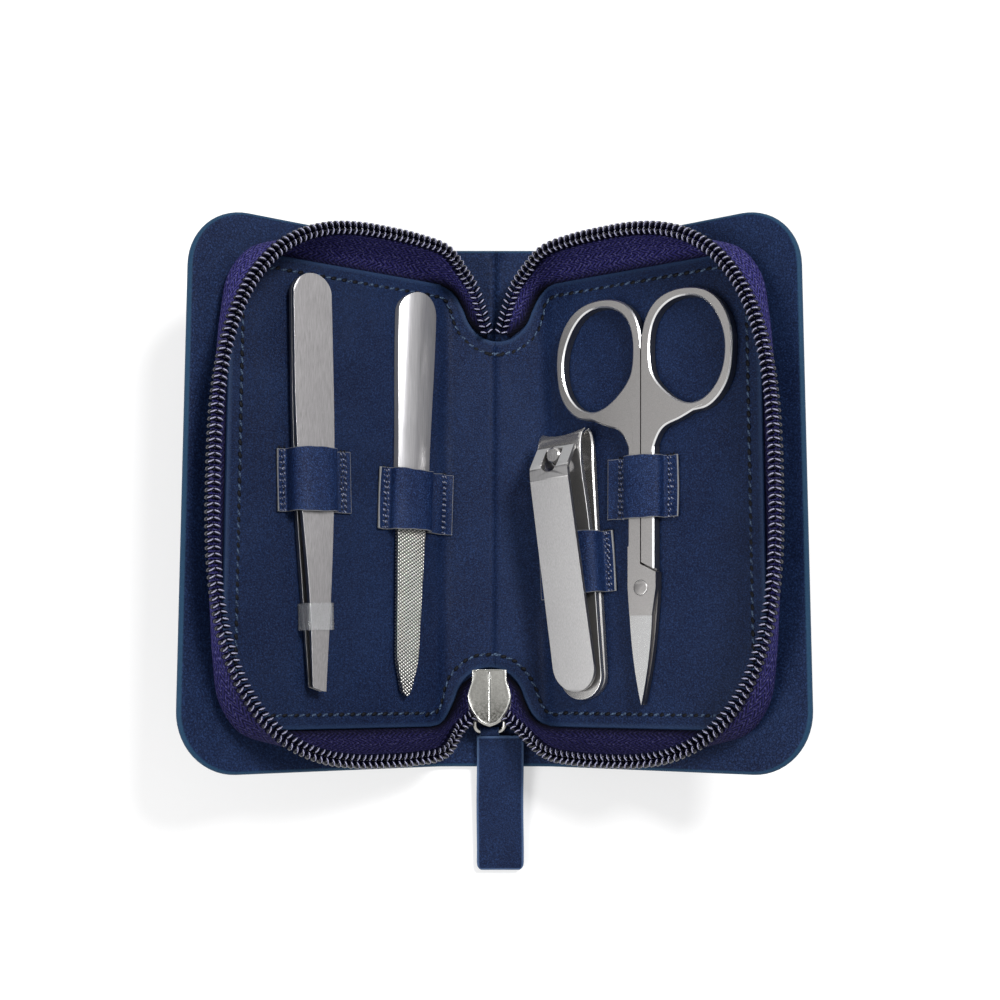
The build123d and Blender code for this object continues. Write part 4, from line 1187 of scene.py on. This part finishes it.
dress("stiffener_left", "stiffener_right", material=board_grey)
arms = ("tweezers_lower_arm", "tweezers_upper_arm")
dress(*arms, material=tweezer_steel, bevel=0.14, edge=painted_highlight_edge)
dress("tweezers_sleeve", material=clear_plastic, bevel=0.1)
dress("file_blade", material=file_teeth)
dress("file_handle", material=handle_steel, bevel=0.3, edge=painted_highlight_edge)
lever = {"edge": painted_highlight_edge, "third": ramp_highlight_steel, "finish": lever_finish}
dress("clipper_lever", material=lever_steel, bevel=0.1, **lever)
arms = ("clipper_lower_arm", "clipper_upper_arm")
dress(*arms, material=polished_steel, bevel=0.1, edge=painted_highlight_edge)
dress("clipper_rivet", "clipper_pin", material=polished_steel)
dress("scissors_screw", material=scissor_steel, bevel=0.2, edge=painted_highlight_edge)
halves = {"edge": painted_highlight_edge, "third": ground_steel, "finish": scissors_finish}
dress("scissors_lower_half", "scissors_upper_half", material=scissor_steel, **halves)
dress("zip_slider", "pull_ring", material=nickel)

# the webs that run from each finger ring into its shank
SCISSORS_SEAT = LOOPS["scissors"][1]
SCISSORS_FLOOR = 0.2
SCISSORS_THICK = 2.6
WEB_PROUD = 0.03
WEB_CHAMFER = 0.3
WEB_STEPS = 40
WEB_EDGE = (
    (14.6, 13.2, 12.0, 10.5, 9.0, 7.6, 6.3, 5.3, 4.5, 3.8, 3.25, 2.95, 2.87),
    (18.0, 17.6, 17.1, 16.4, 15.75, 15.3, 14.85, 14.25, 13.4, 12.2, 10.9, 9.9, 9.3),
)
WEB_INSIDE = (
    (14.4, 13.0, 11.8, 10.6, 9.4, 8.2, 6.8, 5.4, 4.2, 3.2, 2.4, 2.0, 1.9),
    (18.4, 18.2, 18.1, 18.2, 18.5, 18.9, 19.5, 20.5, 21.2, 21.0, 18.0, 13.0, 9.3),
)
for turn, body in ((-1, "scissors_blade"), (1, "scissors")):
    edge_line, inner_line = (
        smooth_line(np.transpose(line) * (turn, 1), WEB_STEPS) for line in (WEB_EDGE, WEB_INSIDE)
    )
    bevelled = edge_line - turned_left(np.gradient(edge_line, axis=0)) * turn * WEB_CHAMFER
    low, high = -WEB_PROUD, SCISSORS_THICK + WEB_PROUD
    rows = [
        (bevelled, low),
        (edge_line, low + WEB_CHAMFER),
        (edge_line, high - WEB_CHAMFER),
        (bevelled, high),
        (inner_line, high),
        (inner_line, low),
    ]
    points = [
        on_seat(1, SCISSORS_SEAT, *line.T, np.full(WEB_STEPS, SCISSORS_FLOOR + height))
        for line, height in rows + rows[:1]
    ]
    faces = grid_faces(len(rows) + 1, WEB_STEPS)
    ends = (0, WEB_STEPS - 1)
    faces += [tuple(row * WEB_STEPS + step for row in range(len(rows))) for step in ends]
    web = new_piece(
        f"ring_web_{body}", np.vstack(points), faces, scissor_steel, flat_faces=True
    )
    web.data.materials.append(painted_highlight_edge)
    # the upper chamfer gets the painted highlight of the edges
    for face in web.data.polygons:
        face.material_index = int(face.index // (WEB_STEPS - 1) == 2)
    settle_normals(web, merge=DOUBLES)
    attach(web, body)


# ------------------------------------------------------- floor, light and camera
def looked_at(tree):
    """1 where a ray comes straight from the eye, off metal or through plastic."""
    rays = add_node(tree, "ShaderNodeLightPath")
    eye, metal, plastic = (
        Wire(rays, f"Is {kind} Ray") for kind in ("Camera", "Glossy", "Transmission")
    )
    return (eye + metal + plastic).clamp()


paper = Finish("pale floor")
fibres = paper.noise(paper.place(), 0.5, 3.0)
paper_tone = paper.mix(fibres, (0.93, 0.93, 0.93), (0.95, 0.95, 0.95))
both = paper.node("MixShader", Fac=looked_at(paper.tree) * 0.45)
feed(both.inputs[1], paper.node("BsdfDiffuse", Color=paper_tone))
feed(both.inputs[2], paper.node("Emission", Color=(1.0, 1.0, 1.0, 1.0), Strength=1.0))
paper.node("OutputMaterial", Surface=both)
FLOOR_REACH = 3000
corners = np.array([(-1, -1, 0), (1, -1, 0), (1, 1, 0), (-1, 1, 0)]) * FLOOR_REACH - (0, 0, 0.4)
floor = new_piece("floor", corners, [(0, 1, 2, 3)], paper.material, flat_faces=True)
CASE_MIDDLE = Vector((0, 0, 0.02))


def soft_light(name, place, size, power):
    """A round lamp that points at the middle of the case."""
    lamp = bpy.data.lights.new(name, "AREA")
    lamp.shape = "DISK"
    lamp.size = size
    lamp.energy = power
    holder = bpy.data.objects.new(name, lamp)
    holder.location = place
    aim = CASE_MIDDLE - Vector(place)
    holder.rotation_euler = aim.to_track_quat("-Z", "Y").to_euler()
    scene.collection.objects.link(holder)


soft_light("key", (0.35, 0.35, 0.75), 0.24, 7.0)
soft_light("fill", (-0.5, -0.2, 0.6), 0.36, 3.5)

world = bpy.data.worlds.new("studio")
world.use_nodes = True
scene.world = world
backdrop = world.node_tree.nodes["Background"]
feed(backdrop.inputs["Color"], (1, 1, 1, 1))
feed(backdrop.inputs["Strength"], looked_at(world.node_tree) * 0.5 + 0.5)

lens = bpy.data.cameras.new("camera")
lens.lens = 52.95
lens.sensor_width = 36
camera = bpy.data.objects.new("camera", lens)
camera.location = (0.00107, -0.03797, 0.3277)
camera.rotation_euler = (np.arcsin(0.1177), 0, 0)
scene.collection.objects.link(camera)
scene.camera = camera
scene.view_settings.view_transform = "Standard"
